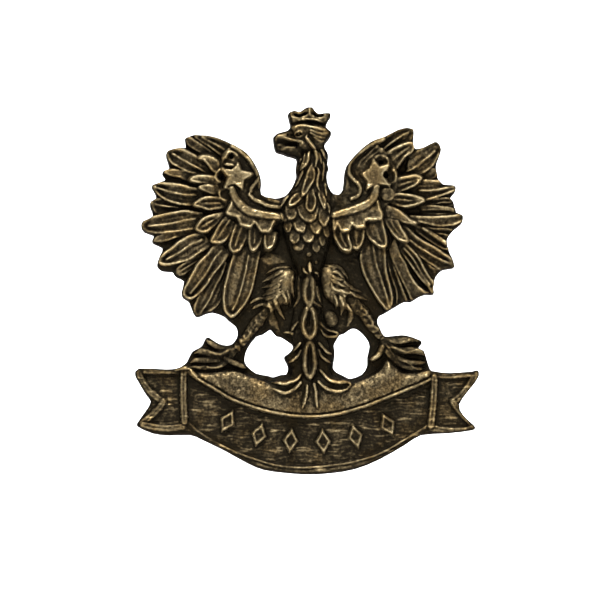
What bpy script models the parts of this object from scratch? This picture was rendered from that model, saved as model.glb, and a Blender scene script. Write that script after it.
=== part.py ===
"""Cast cap badge: a crowned eagle over a scroll, held on by two posts and two butterfly clutches.

The badge stands upright as worn. Its face looks along -Y, +X is the viewer's right and +Z is up.
The cast back is the plane y = 0, and the origin is the point of it midway between the two posts.
Shapes on the face are drawn in millimetres as (x, z), from a datum on the eagle's thighs that lies
POST_LEVEL below the posts, with heights measured forwards from the back.
"""
import math

import bmesh
import bpy
from mathutils import Vector

MM = 0.001

# Driving dimensions, in millimetres
POST_SPACING = 18.0
POST_LEVEL = 7.0
POST_RADIUS = 0.6
POST_TIP = 9.0
POST_POINT = 1.5
FLANGE_RADIUS = 2.3
FLANGE_THICKNESS = 0.45
SOLDER_WIDTH = 0.8
CLOTH = 2.8
DISC_RADIUS = 5.75
HUB_RADIUS = 3.6
HUB_TOP = 3.5
SHEET = 0.35
SPRING_SHEET = 0.3
SQUEEZE = 0.7
GAP = 0.3
FREE_PLAY = 0.15
GRIP_CLEARANCE = 0.05
BACK_PATCH = (3.0, 4.0)

PLATE = 1.2
SUNK = 0.35
UNDER_EDGE, UNDER_RIB = 1.25, 1.65
QUILL_EDGE, QUILL_RIB = 1.55, 2.0
COVERT_EDGE, COVERT_RIB = 2.1, 2.5
SCALE_EDGE, SCALE_RIB = 2.45, 2.8
BODY_EDGE, BODY_TOP = 2.1, 3.7
LEG_EDGE, LEG_TOP = 1.6, 2.6
FIELD_TOP = 2.5
RIM_TOP = 2.2
RIM_HALF_WIDTH = 0.3

# Outline of the cast plate, clockwise from the crown, and its two openings between legs and tail
PLATE_OUTLINE = [
    # crown, back of the head and neck
    (-1.9, 22.6), (0.6, 23.2), (2.6, 22.4), (2.2, 21.2), (2.7, 20.3), (2.0, 19.0), (2.3, 17.5), (2.4, 15.0),
    (2.8, 13.2), (3.8, 12.5),
    # right wing, from the shoulder round the quill tips to the leg
    (4.6, 12.9), (4.9, 14.2), (5.1, 16.2), (6.2, 17.6), (8.0, 19.1), (9.6, 19.7), (11.5, 20.4), (12.6, 20.2),
    (12.8, 19.0), (13.4, 18.1), (15.0, 18.3), (15.6, 16.5), (15.7, 14.2), (17.2, 13.4), (17.0, 12.3),
    (17.6, 11.2), (17.6, 9.3), (16.9, 7.9), (16.8, 6.4), (17.0, 4.6), (15.6, 3.2), (15.1, 1.8), (14.2, 0.9),
    (12.4, 0.2), (10.6, -0.5), (9.0, -1.6), (8.4, -2.4),
    # right leg and foot
    (8.6, -3.4), (9.5, -4.6), (11.5, -4.5), (13.3, -4.9), (13.6, -5.6), (14.2, -6.9), (14.7, -8.6),
    # right swallowtail
    (16.0, -8.9), (20.7, -8.8), (20.9, -9.3), (18.5, -12.3), (18.4, -12.8), (20.3, -15.2), (20.0, -15.8),
    (15.0, -16.0),
    # bottom of the scroll
    (12.0, -17.5), (9.0, -19.2), (6.0, -20.4), (3.0, -21.0), (0.0, -21.2), (-3.0, -20.9), (-6.0, -20.2),
    (-9.0, -18.7), (-12.0, -17.1), (-14.6, -16.3),
    # left swallowtail
    (-19.6, -15.7), (-20.3, -15.2), (-19.1, -13.4), (-18.7, -12.3), (-19.2, -11.4), (-20.7, -9.3),
    (-20.6, -8.6), (-15.6, -8.5),
    # left foot and leg
    (-14.4, -7.6), (-13.4, -6.2), (-12.3, -5.6), (-11.8, -5.1), (-10.5, -5.7), (-9.2, -5.6), (-8.2, -5.0),
    (-8.0, -3.9), (-8.4, -3.2),
    # left wing, from the leg round the quill tips to the shoulder
    (-9.8, -2.3), (-11.2, -1.3), (-12.9, -1.6), (-13.3, -0.8), (-14.0, 0.4), (-14.2, 2.2), (-15.4, 3.1),
    (-16.4, 3.9), (-17.3, 4.6), (-16.9, 6.0), (-17.7, 7.0), (-18.8, 8.2), (-18.9, 9.3), (-17.6, 10.3),
    (-17.9, 11.2), (-17.4, 12.3), (-17.6, 13.3), (-16.6, 14.2), (-15.9, 15.4), (-16.2, 17.3), (-14.6, 17.9),
    (-14.2, 19.2), (-12.5, 19.6), (-10.2, 19.2), (-8.0, 18.2), (-6.5, 16.5), (-5.7, 14.8), (-5.7, 12.8),
    # front of the neck and the beak
    (-4.6, 12.2), (-3.2, 12.2), (-2.2, 12.7), (-1.5, 13.8), (-0.9, 15.5), (-1.0, 17.1), (-2.4, 17.9),
    (-3.4, 18.3), (-3.7, 19.4), (-2.9, 20.1), (-1.8, 20.5), (-1.6, 21.2),
]
LEFT_OPENING = [
    (-4.4, -3.8), (-3.5, -4.4), (-2.1, -4.9), (-1.6, -5.7), (-2.3, -6.8), (-2.4, -8.2), (-2.6, -9.0),
    (-4.0, -9.3), (-6.0, -8.9), (-7.1, -7.8), (-7.3, -6.9), (-6.9, -5.8), (-6.2, -4.8), (-5.1, -4.1),
]
RIGHT_OPENING = [
    (5.9, -3.5), (4.9, -4.0), (4.0, -4.4), (3.5, -5.3), (3.3, -7.2), (3.2, -8.4), (4.0, -9.1), (5.5, -9.5),
    (6.9, -9.0), (7.5, -8.0), (7.5, -7.0), (7.8, -6.0), (7.6, -5.1), (7.0, -4.3), (6.5, -3.7),
]

# Feathers: root x, root z, tip x, tip z, half width. The narrow ones lie under their neighbours.
LEFT_QUILLS = [
    (-7.0, 16.6, -13.9, 19.7, 1.0), (-11.3, 15.3, -16.6, 17.8, 1.1), (-13.2, 13.0, -18.6, 13.7, 0.85),
    (-13.5, 9.5, -19.7, 8.9, 1.15), (-12.0, 7.0, -17.9, 4.1, 1.3), (-10.3, 5.7, -14.5, 0.3, 1.35),
    (-7.3, 5.6, -9.1, -2.0, 1.7),
]
LEFT_UNDER_QUILLS = [
    (-10.8, 17.3, -14.7, 19.5, 0.7), (-13.0, 14.2, -17.2, 15.2, 0.5), (-13.2, 11.8, -17.9, 12.3, 0.5),
    (-13.5, 11.2, -18.8, 11.6, 0.45), (-13.5, 7.9, -18.4, 7.0, 0.5), (-12.5, 5.0, -15.7, 2.8, 0.6),
    (-9.9, 4.0, -13.2, -2.1, 0.9),
]
RIGHT_QUILLS = [
    (6.6, 16.8, 13.1, 20.6, 1.1), (12.2, 15.8, 16.1, 19.1, 1.2), (13.0, 13.3, 18.3, 13.6, 0.85),
    (12.8, 9.9, 19.1, 9.9, 0.9), (12.2, 8.0, 18.1, 4.3, 1.0), (11.0, 6.5, 15.4, 0.7, 0.95),
    (7.6, 6.0, 10.1, -1.2, 1.45),
]
RIGHT_UNDER_QUILLS = [
    (13.0, 14.6, 16.1, 15.5, 0.5), (13.5, 11.7, 18.1, 11.8, 0.45), (14.0, 8.6, 17.4, 7.6, 0.45),
    (13.0, 7.0, 16.4, 3.5, 0.7), (10.2, 6.0, 12.8, -0.3, 0.75), (9.4, 5.8, 11.1, -0.6, 0.7),
]
LEFT_COVERTS = [
    (-10.5, 16.2, -13.0, 17.0, 0.6), (-10.6, 13.6, -13.8, 14.3, 0.5), (-10.6, 12.4, -13.2, 13.4, 0.5),
    (-10.2, 11.6, -13.6, 11.4, 0.7), (-10.3, 10.0, -13.2, 8.3, 0.8), (-9.0, 9.5, -11.2, 6.9, 0.95),
    (-8.0, 9.0, -8.7, 5.8, 0.95), (-6.1, 8.7, -6.3, 5.8, 0.8), (-4.4, 8.2, -4.5, 6.1, 0.7),
]
RIGHT_COVERTS = [
    (10.2, 16.2, 13.0, 18.7, 0.8), (10.8, 13.9, 13.9, 14.9, 0.65), (10.4, 12.1, 14.1, 12.0, 0.7),
    (9.6, 10.7, 13.1, 9.4, 0.55), (10.0, 9.4, 12.0, 7.1, 0.8), (8.5, 9.2, 9.3, 6.4, 1.0),
    (5.9, 8.6, 6.0, 6.1, 0.7), (4.2, 8.4, 4.6, 5.9, 0.85),
]
LEFT_SCALES = [
    (-8.2, 11.2, -9.6, 10.4, 0.8), (-7.2, 10.6, -8.0, 9.0, 0.9), (-6.0, 10.1, -6.5, 8.6, 0.9),
    (-4.7, 9.8, -4.9, 8.1, 0.8),
]
RIGHT_SCALES = [
    (8.0, 11.4, 9.2, 9.9, 0.8), (6.8, 10.7, 7.2, 9.2, 0.9), (5.6, 10.2, 5.6, 8.6, 0.9),
    (4.1, 9.8, 4.2, 8.3, 0.8),
]
TAIL_FEATHERS = [
    (0.4, 2.6, 0.4, -0.9, 0.5), (0.45, -0.6, 0.45, -5.0, 0.65), (0.4, -4.6, 0.4, -9.5, 0.75),
    (-0.9, 1.8, -1.4, -3.9, 0.7), (1.7, 1.8, 2.2, -3.9, 0.7),
    (-0.6, -4.0, -2.4, -7.1, 0.55), (1.4, -4.0, 3.1, -7.4, 0.55),
    (0.4, -9.2, 0.4, -13.4, 0.9),
]

BREAST_ROWS = [
    (11.6, [-1.6, -0.2, 1.2, 2.4]), (10.2, [-1.9, -0.9, 0.5, 1.9, 2.7]), (8.8, [-1.5, -0.2, 1.2, 2.3]),
    (7.4, [-1.1, 0.4, 1.8]), (6.0, [-0.8, 0.4, 1.6]), (4.8, [-0.3, 1.1]),
]
BREAST_SCALE_LENGTH, BREAST_SCALE_HALF_WIDTH = 1.9, 0.76
NECK_FEATHERS = [
    (-0.2, 18.0, -0.4, 14.6, 0.5), (0.9, 18.4, 0.9, 14.9, 0.5), (1.9, 18.0, 2.0, 14.4, 0.5),
    (0.2, 15.6, 0.1, 12.2, 0.6), (1.4, 15.6, 1.5, 12.2, 0.6),
]

# Bars: a list of (x, z, half width) along each centre line
WING_BARS = [
    [(-9.0, 13.3, 0.35), (-8.6, 12.2, 0.42), (-7.9, 11.3, 0.42), (-7.0, 10.6, 0.4), (-5.5, 10.2, 0.38),
     (-2.4, 9.9, 0.3)],
    [(8.3, 13.6, 0.35), (8.2, 12.7, 0.42), (7.6, 11.8, 0.42), (6.6, 11.1, 0.4), (5.0, 10.6, 0.38),
     (2.9, 10.1, 0.3)],
]
LEADING_EDGES = [
    [(-9.6, 18.9, 0.5), (-7.6, 17.7, 0.5), (-6.3, 16.0, 0.5), (-5.8, 14.4, 0.5), (-6.0, 12.9, 0.5),
     (-4.6, 11.6, 0.5), (-2.6, 11.3, 0.4)],
    [(10.0, 19.8, 0.5), (7.4, 18.7, 0.5), (5.6, 17.0, 0.5), (5.2, 15.2, 0.5), (5.2, 13.4, 0.5),
     (4.2, 12.2, 0.5), (2.8, 11.9, 0.4)],
]
LEGS = [
    [(-3.0, 3.0, 1.4), (-4.2, 0.6, 1.8), (-5.4, -1.8, 1.2), (-7.2, -4.3, 0.7), (-8.7, -5.8, 0.65)],
    [(3.6, 3.2, 1.4), (4.6, 0.8, 1.8), (6.0, -1.2, 1.2), (7.6, -3.0, 0.7), (9.2, -5.1, 0.65)],
]
TOES = [
    [(-8.6, -5.7, 0.5), (-10.4, -6.4, 0.5), (-12.0, -5.7, 0.45), (-12.0, -4.6, 0.2)],
    [(-8.8, -5.9, 0.5), (-10.8, -7.0, 0.6), (-12.6, -6.5, 0.5), (-13.5, -6.1, 0.3)],
    [(-9.0, -6.1, 0.5), (-11.0, -8.2, 0.5), (-13.0, -8.3, 0.4), (-14.0, -8.2, 0.2)],
    [(-8.8, -6.4, 0.4), (-8.2, -7.6, 0.4), (-7.2, -8.2, 0.3)],
    [(9.2, -5.0, 0.5), (11.2, -4.8, 0.5), (13.0, -4.6, 0.45), (14.0, -5.2, 0.2)],
    [(9.4, -5.3, 0.5), (11.6, -6.1, 0.5), (13.6, -6.2, 0.45), (14.5, -6.8, 0.3)],
    [(9.6, -5.6, 0.5), (11.2, -7.3, 0.5), (12.8, -8.1, 0.4), (14.0, -8.5, 0.25)],
    [(9.2, -5.9, 0.4), (8.7, -6.8, 0.4), (8.0, -7.3, 0.3)],
]
TAIL_CURLS = [
    [(-0.6, -8.6, 0.5), (-1.8, -10.1, 0.55), (-3.2, -10.7, 0.5), (-4.6, -10.3, 0.3)],
    [(1.4, -8.6, 0.5), (2.6, -10.2, 0.55), (4.0, -10.6, 0.5), (5.1, -10.3, 0.35)],
    [(1.6, -3.0, 0.4), (2.6, -4.2, 0.4), (3.6, -4.3, 0.25)],
]
BODY_SPINE = [
    (0.6, 20.8, 2.0), (0.6, 19.0, 1.6), (0.7, 16.6, 1.7), (0.7, 14.2, 1.9), (0.4, 12.0, 2.7),
    (0.3, 9.4, 2.9), (0.3, 6.4, 2.4), (0.4, 3.4, 1.9), (0.4, 0.6, 1.5), (0.4, -4.0, 1.3), (0.4, -9.6, 1.3),
]
BEAK = [(0.2, 19.9, 1.2), (-1.6, 19.6, 1.0), (-3.0, 19.3, 0.85), (-3.8, 18.9, 0.5)]
CROWN_BAND = [(-1.7, 21.3, 0.35), (0.4, 21.5, 0.4), (2.4, 21.3, 0.35)]
CROWN_TINES = [(-1.4, 21.5, -2.2, 22.9, 0.45), (0.4, 21.6, 0.55, 23.5, 0.6), (2.2, 21.5, 3.0, 22.6, 0.45)]
STARS = [(-8.5, 15.0, 1.9, 80.0), (8.3, 15.3, 1.9, 100.0)]
STAR_INNER = 0.46

# Scroll
FIELD = [
    (-14.0, -8.5), (-11.0, -8.9), (-6.6, -9.2), (-3.0, -9.6), (0.4, -10.0), (4.0, -9.9), (7.4, -9.3),
    (9.8, -8.0), (12.0, -8.7), (15.0, -9.2), (12.0, -10.9), (9.0, -12.2), (6.0, -13.2), (3.0, -13.9),
    (0.0, -14.1), (-3.0, -13.8), (-6.0, -13.1), (-9.0, -12.0), (-12.0, -10.4),
]
SCROLL_RIMS = [
    # bottom edge of the middle band, then its two folds
    [(-14.7, -14.6), (-12.0, -16.8), (-9.0, -18.3), (-6.0, -19.5), (-3.0, -20.2), (0.4, -20.4),
     (3.0, -20.2), (6.0, -19.6), (9.0, -18.6), (12.0, -17.0), (15.0, -15.1)],
    [(-14.7, -8.8), (-14.7, -14.9)],
    [(15.5, -9.4), (15.1, -15.4)],
    # left swallowtail
    [(-14.4, -8.6), (-17.5, -8.75), (-20.3, -8.8), (-19.3, -10.4), (-17.7, -12.1), (-18.5, -13.6),
     (-19.9, -15.1), (-17.4, -15.6), (-14.7, -15.3)],
    # right swallowtail
    [(14.6, -8.9), (17.5, -9.15), (20.5, -9.0), (19.4, -10.8), (18.0, -12.3), (18.6, -13.6),
     (20.1, -15.3), (17.6, -15.8), (15.1, -15.5)],
]
ORNAMENTS = [(-9.6, -14.7), (-5.7, -16.4), (-1.9, -17.1), (1.9, -17.1), (5.9, -16.4), (9.8, -15.2)]
ORNAMENT_LENGTH, ORNAMENT_HALF_WIDTH = 2.9, 0.9

# Levels inside a clutch, from the face of its disc
CLOTH_RING = 3.9
COVER_FLOOR = SHEET + GAP
LEAF_LEVELS = (1.45, 2.05)
LEAF_HALF_WIDTH = 1.3
WINDOW_LEVELS = (1.15, 2.75)
WINDOW_HALF_WIDTH = 1.6
BOW_LEVELS = (1.3, 2.5)

LEAF_PROFILE = [(0.0, 0.5), (0.25, 0.85), (0.55, 1.0), (0.8, 0.85), (0.94, 0.5), (1.0, 0.12)]
SCALE_PROFILE = [(0.0, 0.8), (0.4, 1.0), (0.75, 0.85), (1.0, 0.3)]


def at(x, height, z):
    """The point of the badge's face at drawing position (x, z), that many millimetres in front of the back."""
    return Vector((x, -height, z - POST_LEVEL)) * MM


def skin(bm, rows):
    """A closed body over rings of corners that follow one another, capped at both ends."""
    rings = [[bm.verts.new(corner) for corner in row] for row in rows]
    count = len(rings[0])
    for first, second in zip(rings, rings[1:]):
        for k in range(count):
            bm.faces.new((first[k], second[k], second[(k + 1) % count], first[(k + 1) % count]))
    bm.faces.new(rings[0])
    bm.faces.new(reversed(rings[-1]))


# Shells of the relief. Each is a closed body in one mesh, and a Boolean union fuses them.
def add_ridge(bm, stations, floor, edge, crest, rounded=False):
    """A roof-shaped ridge along stations of (x, z, half width), with the crest above its middle."""
    middle = [Vector((x, z)) for x, z, _ in stations]
    rows = []
    for i, (x, z, half) in enumerate(stations):
        along = (middle[min(i + 1, len(middle) - 1)] - middle[max(i - 1, 0)]).normalized()
        side = Vector((-along.y, along.x)) * half
        profile = [(1.0, floor), (1.0, edge), (0.0, crest), (-1.0, edge), (-1.0, floor)]
        if rounded:
            shoulder = edge + 0.7 * (crest - edge)
            profile[2:3] = [(0.6, shoulder), (0.0, crest), (-0.6, shoulder)]
        rows.append([at(x + side.x * k, h, z + side.y * k) for k, h in profile])
    skin(bm, rows)


def add_feather(bm, feather, floor, edge, crest, profile=LEAF_PROFILE):
    """A leaf-shaped feather from its root to its tip, half as wide at the root as in the middle."""
    root_x, root_z, tip_x, tip_z, half = feather
    stations = [
        (root_x + (tip_x - root_x) * t, root_z + (tip_z - root_z) * t, half * share) for t, share in profile
    ]
    add_ridge(bm, stations, floor, edge, crest)


def add_prism(bm, outline, floor, top):
    """A flat-topped prism over an outline of (x, z)."""
    skin(bm, [[at(x, height, z) for x, z in outline] for height in (top, floor)])


def star_outline(x, z, radius, turn):
    """Five points and five notches round (x, z), with one point at the angle turn."""
    return [
        (
            x + radius * (STAR_INNER if k % 2 else 1.0) * math.cos(math.radians(turn - 36 * k)),
            z + radius * (STAR_INNER if k % 2 else 1.0) * math.sin(math.radians(turn - 36 * k)),
        )
        for k in range(10)
    ]


def wing_shells(bm, quills, under_quills, coverts, scales):
    """One wing's feathers in four layers. Each layer's heights step a little, so that no faces coincide."""
    layers = [
        (under_quills, UNDER_EDGE, UNDER_RIB, LEAF_PROFILE),
        (quills, QUILL_EDGE, QUILL_RIB, LEAF_PROFILE),
        (coverts, COVERT_EDGE, COVERT_RIB, LEAF_PROFILE),
        (scales, SCALE_EDGE, SCALE_RIB, SCALE_PROFILE),
    ]
    for feathers, edge, crest, profile in layers:
        for number, feather in enumerate(feathers):
            step = 0.013 * number
            add_feather(bm, feather, SUNK + step, edge + step, crest + step, profile)


def body_shells(bm):
    """Neck, breast, head, crown, legs, feet and tail."""
    add_ridge(bm, BODY_SPINE, SUNK, BODY_EDGE, BODY_TOP, rounded=True)
    add_ridge(bm, BEAK, SUNK + 0.02, 1.9, 3.1, rounded=True)
    for number, feather in enumerate(NECK_FEATHERS):
        step = 0.013 * number
        add_feather(bm, feather, SUNK + 0.21 + step, BODY_TOP - 0.35 + step, BODY_TOP + 0.1 + step)
    for row, (z, places) in enumerate(BREAST_ROWS):
        for number, x in enumerate(places):
            step = 0.011 * number + 0.023 * (row % 2)
            # scales near the flanks lie lower, on the round of the breast
            crest = BODY_TOP + 0.18 - 0.1 * abs(x - 0.4) ** 1.5 + step
            scale = (x, z, x, z - BREAST_SCALE_LENGTH, BREAST_SCALE_HALF_WIDTH)
            add_feather(bm, scale, SUNK + 0.3 + step, crest - 0.3, crest, SCALE_PROFILE)
    add_ridge(bm, CROWN_BAND, SUNK + 0.04, 3.0, 3.9)
    for number, tine in enumerate(CROWN_TINES):
        add_feather(bm, tine, SUNK + 0.06 + 0.02 * number, 2.6, 3.3 + 0.02 * number)
    for number, leg in enumerate(LEGS):
        step = 0.017 * number
        add_ridge(bm, leg, SUNK + 0.03 + step, LEG_EDGE + step, LEG_TOP + step, rounded=True)
    for number, toe in enumerate(TOES):
        step = 0.017 * number
        add_ridge(bm, toe, SUNK + 0.07 + step, LEG_EDGE + 0.05 + step, LEG_TOP + 0.2 + step)
    for number, feather in enumerate(TAIL_FEATHERS):
        step = 0.017 * number
        add_feather(bm, feather, SUNK + 0.09 + step, 2.9 + step, 3.9 + step)
    for number, curl in enumerate(TAIL_CURLS):
        step = 0.017 * number
        add_ridge(bm, curl, SUNK + 0.11 + step, 2.7 + step, 3.2 + step)


def bar_shells(bm):
    """Smooth bars across the wings, their leading edges and the two stars."""
    for number, (bar, edge_bar, star) in enumerate(zip(WING_BARS, LEADING_EDGES, STARS)):
        step = 0.019 * number
        add_ridge(bm, edge_bar, SUNK + 0.05 + step, 1.9 + step, 2.6 + step)
        add_ridge(bm, bar, SUNK + 0.08 + step, 2.7 + step, 3.2 + step)
        add_prism(bm, star_outline(*star), SUNK + 0.1 + step, 2.9 + step)


def scroll_shells(bm):
    """The pebbled field above the scroll, the rims along the scroll's edges and its six plain lozenges."""
    add_prism(bm, FIELD, SUNK + 0.06, FIELD_TOP)
    for number, rim in enumerate(SCROLL_RIMS):
        step = 0.021 * number
        stations = [(x, z, RIM_HALF_WIDTH) for x, z in rim]
        add_ridge(bm, stations, SUNK + 0.02 + step, RIM_TOP - 0.3 + step, RIM_TOP + step)
    for number, (x, z) in enumerate(ORNAMENTS):
        half = ORNAMENT_LENGTH / 2
        stations = [(x, z + half, 0.1), (x, z, ORNAMENT_HALF_WIDTH), (x, z - half, 0.1)]
        add_ridge(bm, stations, SUNK + 0.05 + 0.011 * number, PLATE + 0.35, RIM_TOP - 0.1)


# Objects
def metal(name, colour, roughness, metallic=1.0):
    material = bpy.data.materials.new(name)
    material.use_nodes = True
    shader = material.node_tree.nodes["Principled BSDF"]
    shader.inputs["Base Color"].default_value = (*colour, 1.0)
    shader.inputs["Roughness"].default_value = roughness
    shader.inputs["Metallic"].default_value = metallic
    return material


def object_from(name, bm, material):
    """A new object made from a bmesh, its faces turned outwards."""
    bmesh.ops.recalc_face_normals(bm, faces=bm.faces)
    mesh = bpy.data.meshes.new(name)
    bm.to_mesh(mesh)
    bm.free()
    mesh.shade_smooth()
    mesh.set_sharp_from_angle(angle=math.radians(35))
    made = bpy.data.objects.new(name, mesh)
    bpy.context.scene.collection.objects.link(made)
    if material:
        mesh.materials.append(material)
    return made


def helper(made):
    """Marks an object as an operand or a cutter, which isn't part of the badge."""
    made.hide_render = True
    made.display_type = "WIRE"
    return made


def boolean(target, other, operation, within_itself=False):
    modifier = target.modifiers.new(other.name, "BOOLEAN")
    modifier.operation = operation
    modifier.solver = "EXACT"
    modifier.use_self = within_itself
    modifier.object = other


def bake(target):
    """Replaces an object's mesh with what its modifiers make of it, and removes the helpers they used."""
    used = [m.object for m in target.modifiers if m.type == "BOOLEAN"]
    graph = bpy.context.evaluated_depsgraph_get()
    mesh = bpy.data.meshes.new_from_object(target.evaluated_get(graph))
    target.modifiers.clear()
    target.data = mesh
    for other in set(used):
        bpy.data.objects.remove(other)


def badge_casting(material):
    """The one-piece casting: a plate with two openings, with the eagle and the scroll fused to its face."""
    bm = bmesh.new()
    add_prism(bm, PLATE_OUTLINE, 0.0, PLATE)
    # Cuts in x and in z frame a rectangle on the back between the posts as a flat of its own
    bmesh.ops.triangulate(bm, faces=bm.faces[:])
    for normal, half in zip(((1, 0, 0), (0, 0, 1)), BACK_PATCH):
        for sign in (-1, 1):
            parts = bm.verts[:] + bm.edges[:] + bm.faces[:]
            place = Vector(normal) * sign * half * MM
            bmesh.ops.bisect_plane(bm, geom=parts, plane_co=place, plane_no=normal)
    casting = object_from("badge_casting", bm, material)
    for name, outline in (("left_opening", LEFT_OPENING), ("right_opening", RIGHT_OPENING)):
        bm = bmesh.new()
        add_prism(bm, outline, -1.0, 6.0)
        boolean(casting, helper(object_from(name, bm, None)), "DIFFERENCE")
    bm = bmesh.new()
    wing_shells(bm, LEFT_QUILLS, LEFT_UNDER_QUILLS, LEFT_COVERTS, LEFT_SCALES)
    wing_shells(bm, RIGHT_QUILLS, RIGHT_UNDER_QUILLS, RIGHT_COVERTS, RIGHT_SCALES)
    bar_shells(bm)
    body_shells(bm)
    scroll_shells(bm)
    relief = helper(object_from("relief", bm, None))
    boolean(casting, relief, "UNION", within_itself=True)
    bake(casting)
    casting.data.shade_smooth()
    casting.data.set_sharp_from_angle(angle=math.radians(35))
    return casting


def turned(name, profile, steps, material, closed=True):
    """A body turned about the Y axis from a profile of (radius, y). An open profile starts and ends on the axis."""
    bm = bmesh.new()
    ring = [bm.verts.new(Vector((radius, y, 0.0)) * MM) for radius, y in profile]
    pairs = list(zip(ring, ring[1:])) + ([(ring[-1], ring[0])] if closed else [])
    edges = [bm.edges.new(pair) for pair in pairs]
    bmesh.ops.spin(
        bm, geom=ring + edges, cent=(0, 0, 0), axis=(0, 1, 0), angle=math.tau, steps=steps, use_merge=True
    )
    bmesh.ops.remove_doubles(bm, verts=bm.verts, dist=1e-7)
    return object_from(name, bm, material)


def post(name, material):
    """A round-headed nail: its head lies on the back, and its shank ends in a point."""
    face = GAP + FLANGE_THICKNESS
    profile = [
        (0.0, GAP), (FLANGE_RADIUS - 0.1, GAP), (FLANGE_RADIUS, GAP + 0.1), (FLANGE_RADIUS, face - 0.1),
        (FLANGE_RADIUS - 0.15, face), (POST_RADIUS + 0.25, face), (POST_RADIUS, face + 0.25),
        (POST_RADIUS, POST_TIP - POST_POINT), (0.45 * POST_RADIUS, POST_TIP - 0.35), (0.0, POST_TIP),
    ]
    return turned(name, profile, 20, material, closed=False)


def solder_fillet(name, material):
    """The ring of solder round a post's head."""
    inner = FLANGE_RADIUS + GAP
    profile = [
        (inner, GAP), (inner + SOLDER_WIDTH, GAP), (inner + 0.55 * SOLDER_WIDTH, GAP + 0.12),
        (inner + 0.2 * SOLDER_WIDTH, GAP + 0.28), (inner, GAP + 0.4),
    ]
    return turned(name, profile, 28, material)


def clutch_base(name, material):
    """The disc that presses on the cloth. Its rim is rolled over the edge of the cover."""
    inside = DISC_RADIUS - SHEET
    hole = POST_RADIUS + FREE_PLAY
    curl = COVER_FLOOR + SHEET + GAP
    profile = [
        (hole, 0.15), (hole + 0.4, 0.0), (CLOTH_RING, 0.0), (DISC_RADIUS - 0.4, 0.0),
        (DISC_RADIUS - 0.1, 0.12), (DISC_RADIUS, 0.4), (DISC_RADIUS, curl), (DISC_RADIUS - 0.15, curl + 0.25),
        (DISC_RADIUS - 0.45, curl + 0.33), (DISC_RADIUS - 0.75, curl + 0.25), (DISC_RADIUS - 0.78, curl + 0.05),
        (inside - 0.1, curl), (inside, curl - 0.12), (inside, SHEET + 0.1), (inside - 0.1, SHEET),
        (hole, SHEET),
    ]
    return turned(name, profile, 36, material)


def box_cutter(name, low, high):
    bm = bmesh.new()
    bmesh.ops.create_cube(bm, size=1.0)
    size, middle = Vector(high) - Vector(low), (Vector(high) + Vector(low)) / 2
    bmesh.ops.scale(bm, vec=size * MM, verts=bm.verts)
    bmesh.ops.translate(bm, vec=middle * MM, verts=bm.verts)
    return helper(object_from(name, bm, None))


def clutch_cover(name, material):
    """The stamped cover: a flange under the base's rolled rim, and a hub with a window for each wing."""
    edge, hole = DISC_RADIUS - SHEET - GAP, POST_RADIUS + FREE_PLAY + 0.1
    roof = HUB_TOP - SHEET
    profile = [
        (edge, COVER_FLOOR), (edge, COVER_FLOOR + SHEET), (HUB_RADIUS + 0.25, COVER_FLOOR + SHEET),
        (HUB_RADIUS, COVER_FLOOR + SHEET + 0.25), (HUB_RADIUS, HUB_TOP - 0.4), (HUB_RADIUS - 0.35, HUB_TOP),
        (1.7, HUB_TOP), (1.35, HUB_TOP + 0.2), (hole, HUB_TOP + 0.2), (hole, roof + 0.2),
        (1.2, roof + 0.2), (1.55, roof), (HUB_RADIUS - SHEET - 0.2, roof), (HUB_RADIUS - SHEET, roof - 0.25),
        (HUB_RADIUS - SHEET, COVER_FLOOR),
    ]
    cover = turned(name, profile, 36, material)
    window = box_cutter(
        name + "_windows",
        (-HUB_RADIUS - 1, WINDOW_LEVELS[0], -WINDOW_HALF_WIDTH),
        (HUB_RADIUS + 1, WINDOW_LEVELS[1], WINDOW_HALF_WIDTH),
    )
    boolean(cover, window, "DIFFERENCE")
    bake(cover)
    cover.data.shade_smooth()
    cover.data.set_sharp_from_angle(angle=math.radians(35))
    return cover


def wing(name, side, level, material):
    """One finger wing and its gripping leaf, bent from one strip that points along side (+1 or -1)."""
    # (x, rise, half width) along the strip, from the leaf's tail to the rounded end of the ear
    stations = [
        (-1.6, 0.0, 1.0), (-1.3, 0.0, LEAF_HALF_WIDTH), (3.6, 0.0, LEAF_HALF_WIDTH), (4.1, 0.06, 1.35),
        (4.6, 0.3, 1.6), (5.0, 0.75, 1.95), (5.35, 1.35, 2.2), (5.6, 2.05, 2.2), (5.75, 2.65, 1.8),
        (5.82, 3.0, 1.1),
    ]
    bm = bmesh.new()
    rows = []
    for i, (x, rise, half) in enumerate(stations):
        before, after = stations[max(i - 1, 0)], stations[min(i + 1, len(stations) - 1)]
        along = Vector((after[0] - before[0], after[1] - before[1])).normalized()
        out = Vector((-along.y, along.x)) * SPRING_SHEET
        corners = [(0.0, half), (0.0, -half), (1.0, -half), (1.0, half)]
        rows.append([Vector(((x + out.x * k) * side, level + rise + out.y * k, z)) * MM for k, z in corners])
    skin(bm, rows)
    made = object_from(name, bm, material)
    # The keyhole takes the post: its near end grips the post, and a squeeze brings its wide end there.
    grip, clear = POST_RADIUS + GRIP_CLEARANCE, POST_RADIUS + 2 * FREE_PLAY
    bm = bmesh.new()
    arc = [math.radians(22.5 * k - 90) for k in range(9)]
    outline = [(SQUEEZE + clear * math.cos(a), clear * math.sin(a)) for a in arc]
    outline += [(-grip * math.cos(a), -grip * math.sin(a)) for a in arc]
    skin(bm, [[Vector((x * side, y, z)) * MM for x, z in outline] for y in (level - 1, level + 1)])
    boolean(made, helper(object_from(name + "_slot", bm, None)), "DIFFERENCE")
    bake(made)
    return made


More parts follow.
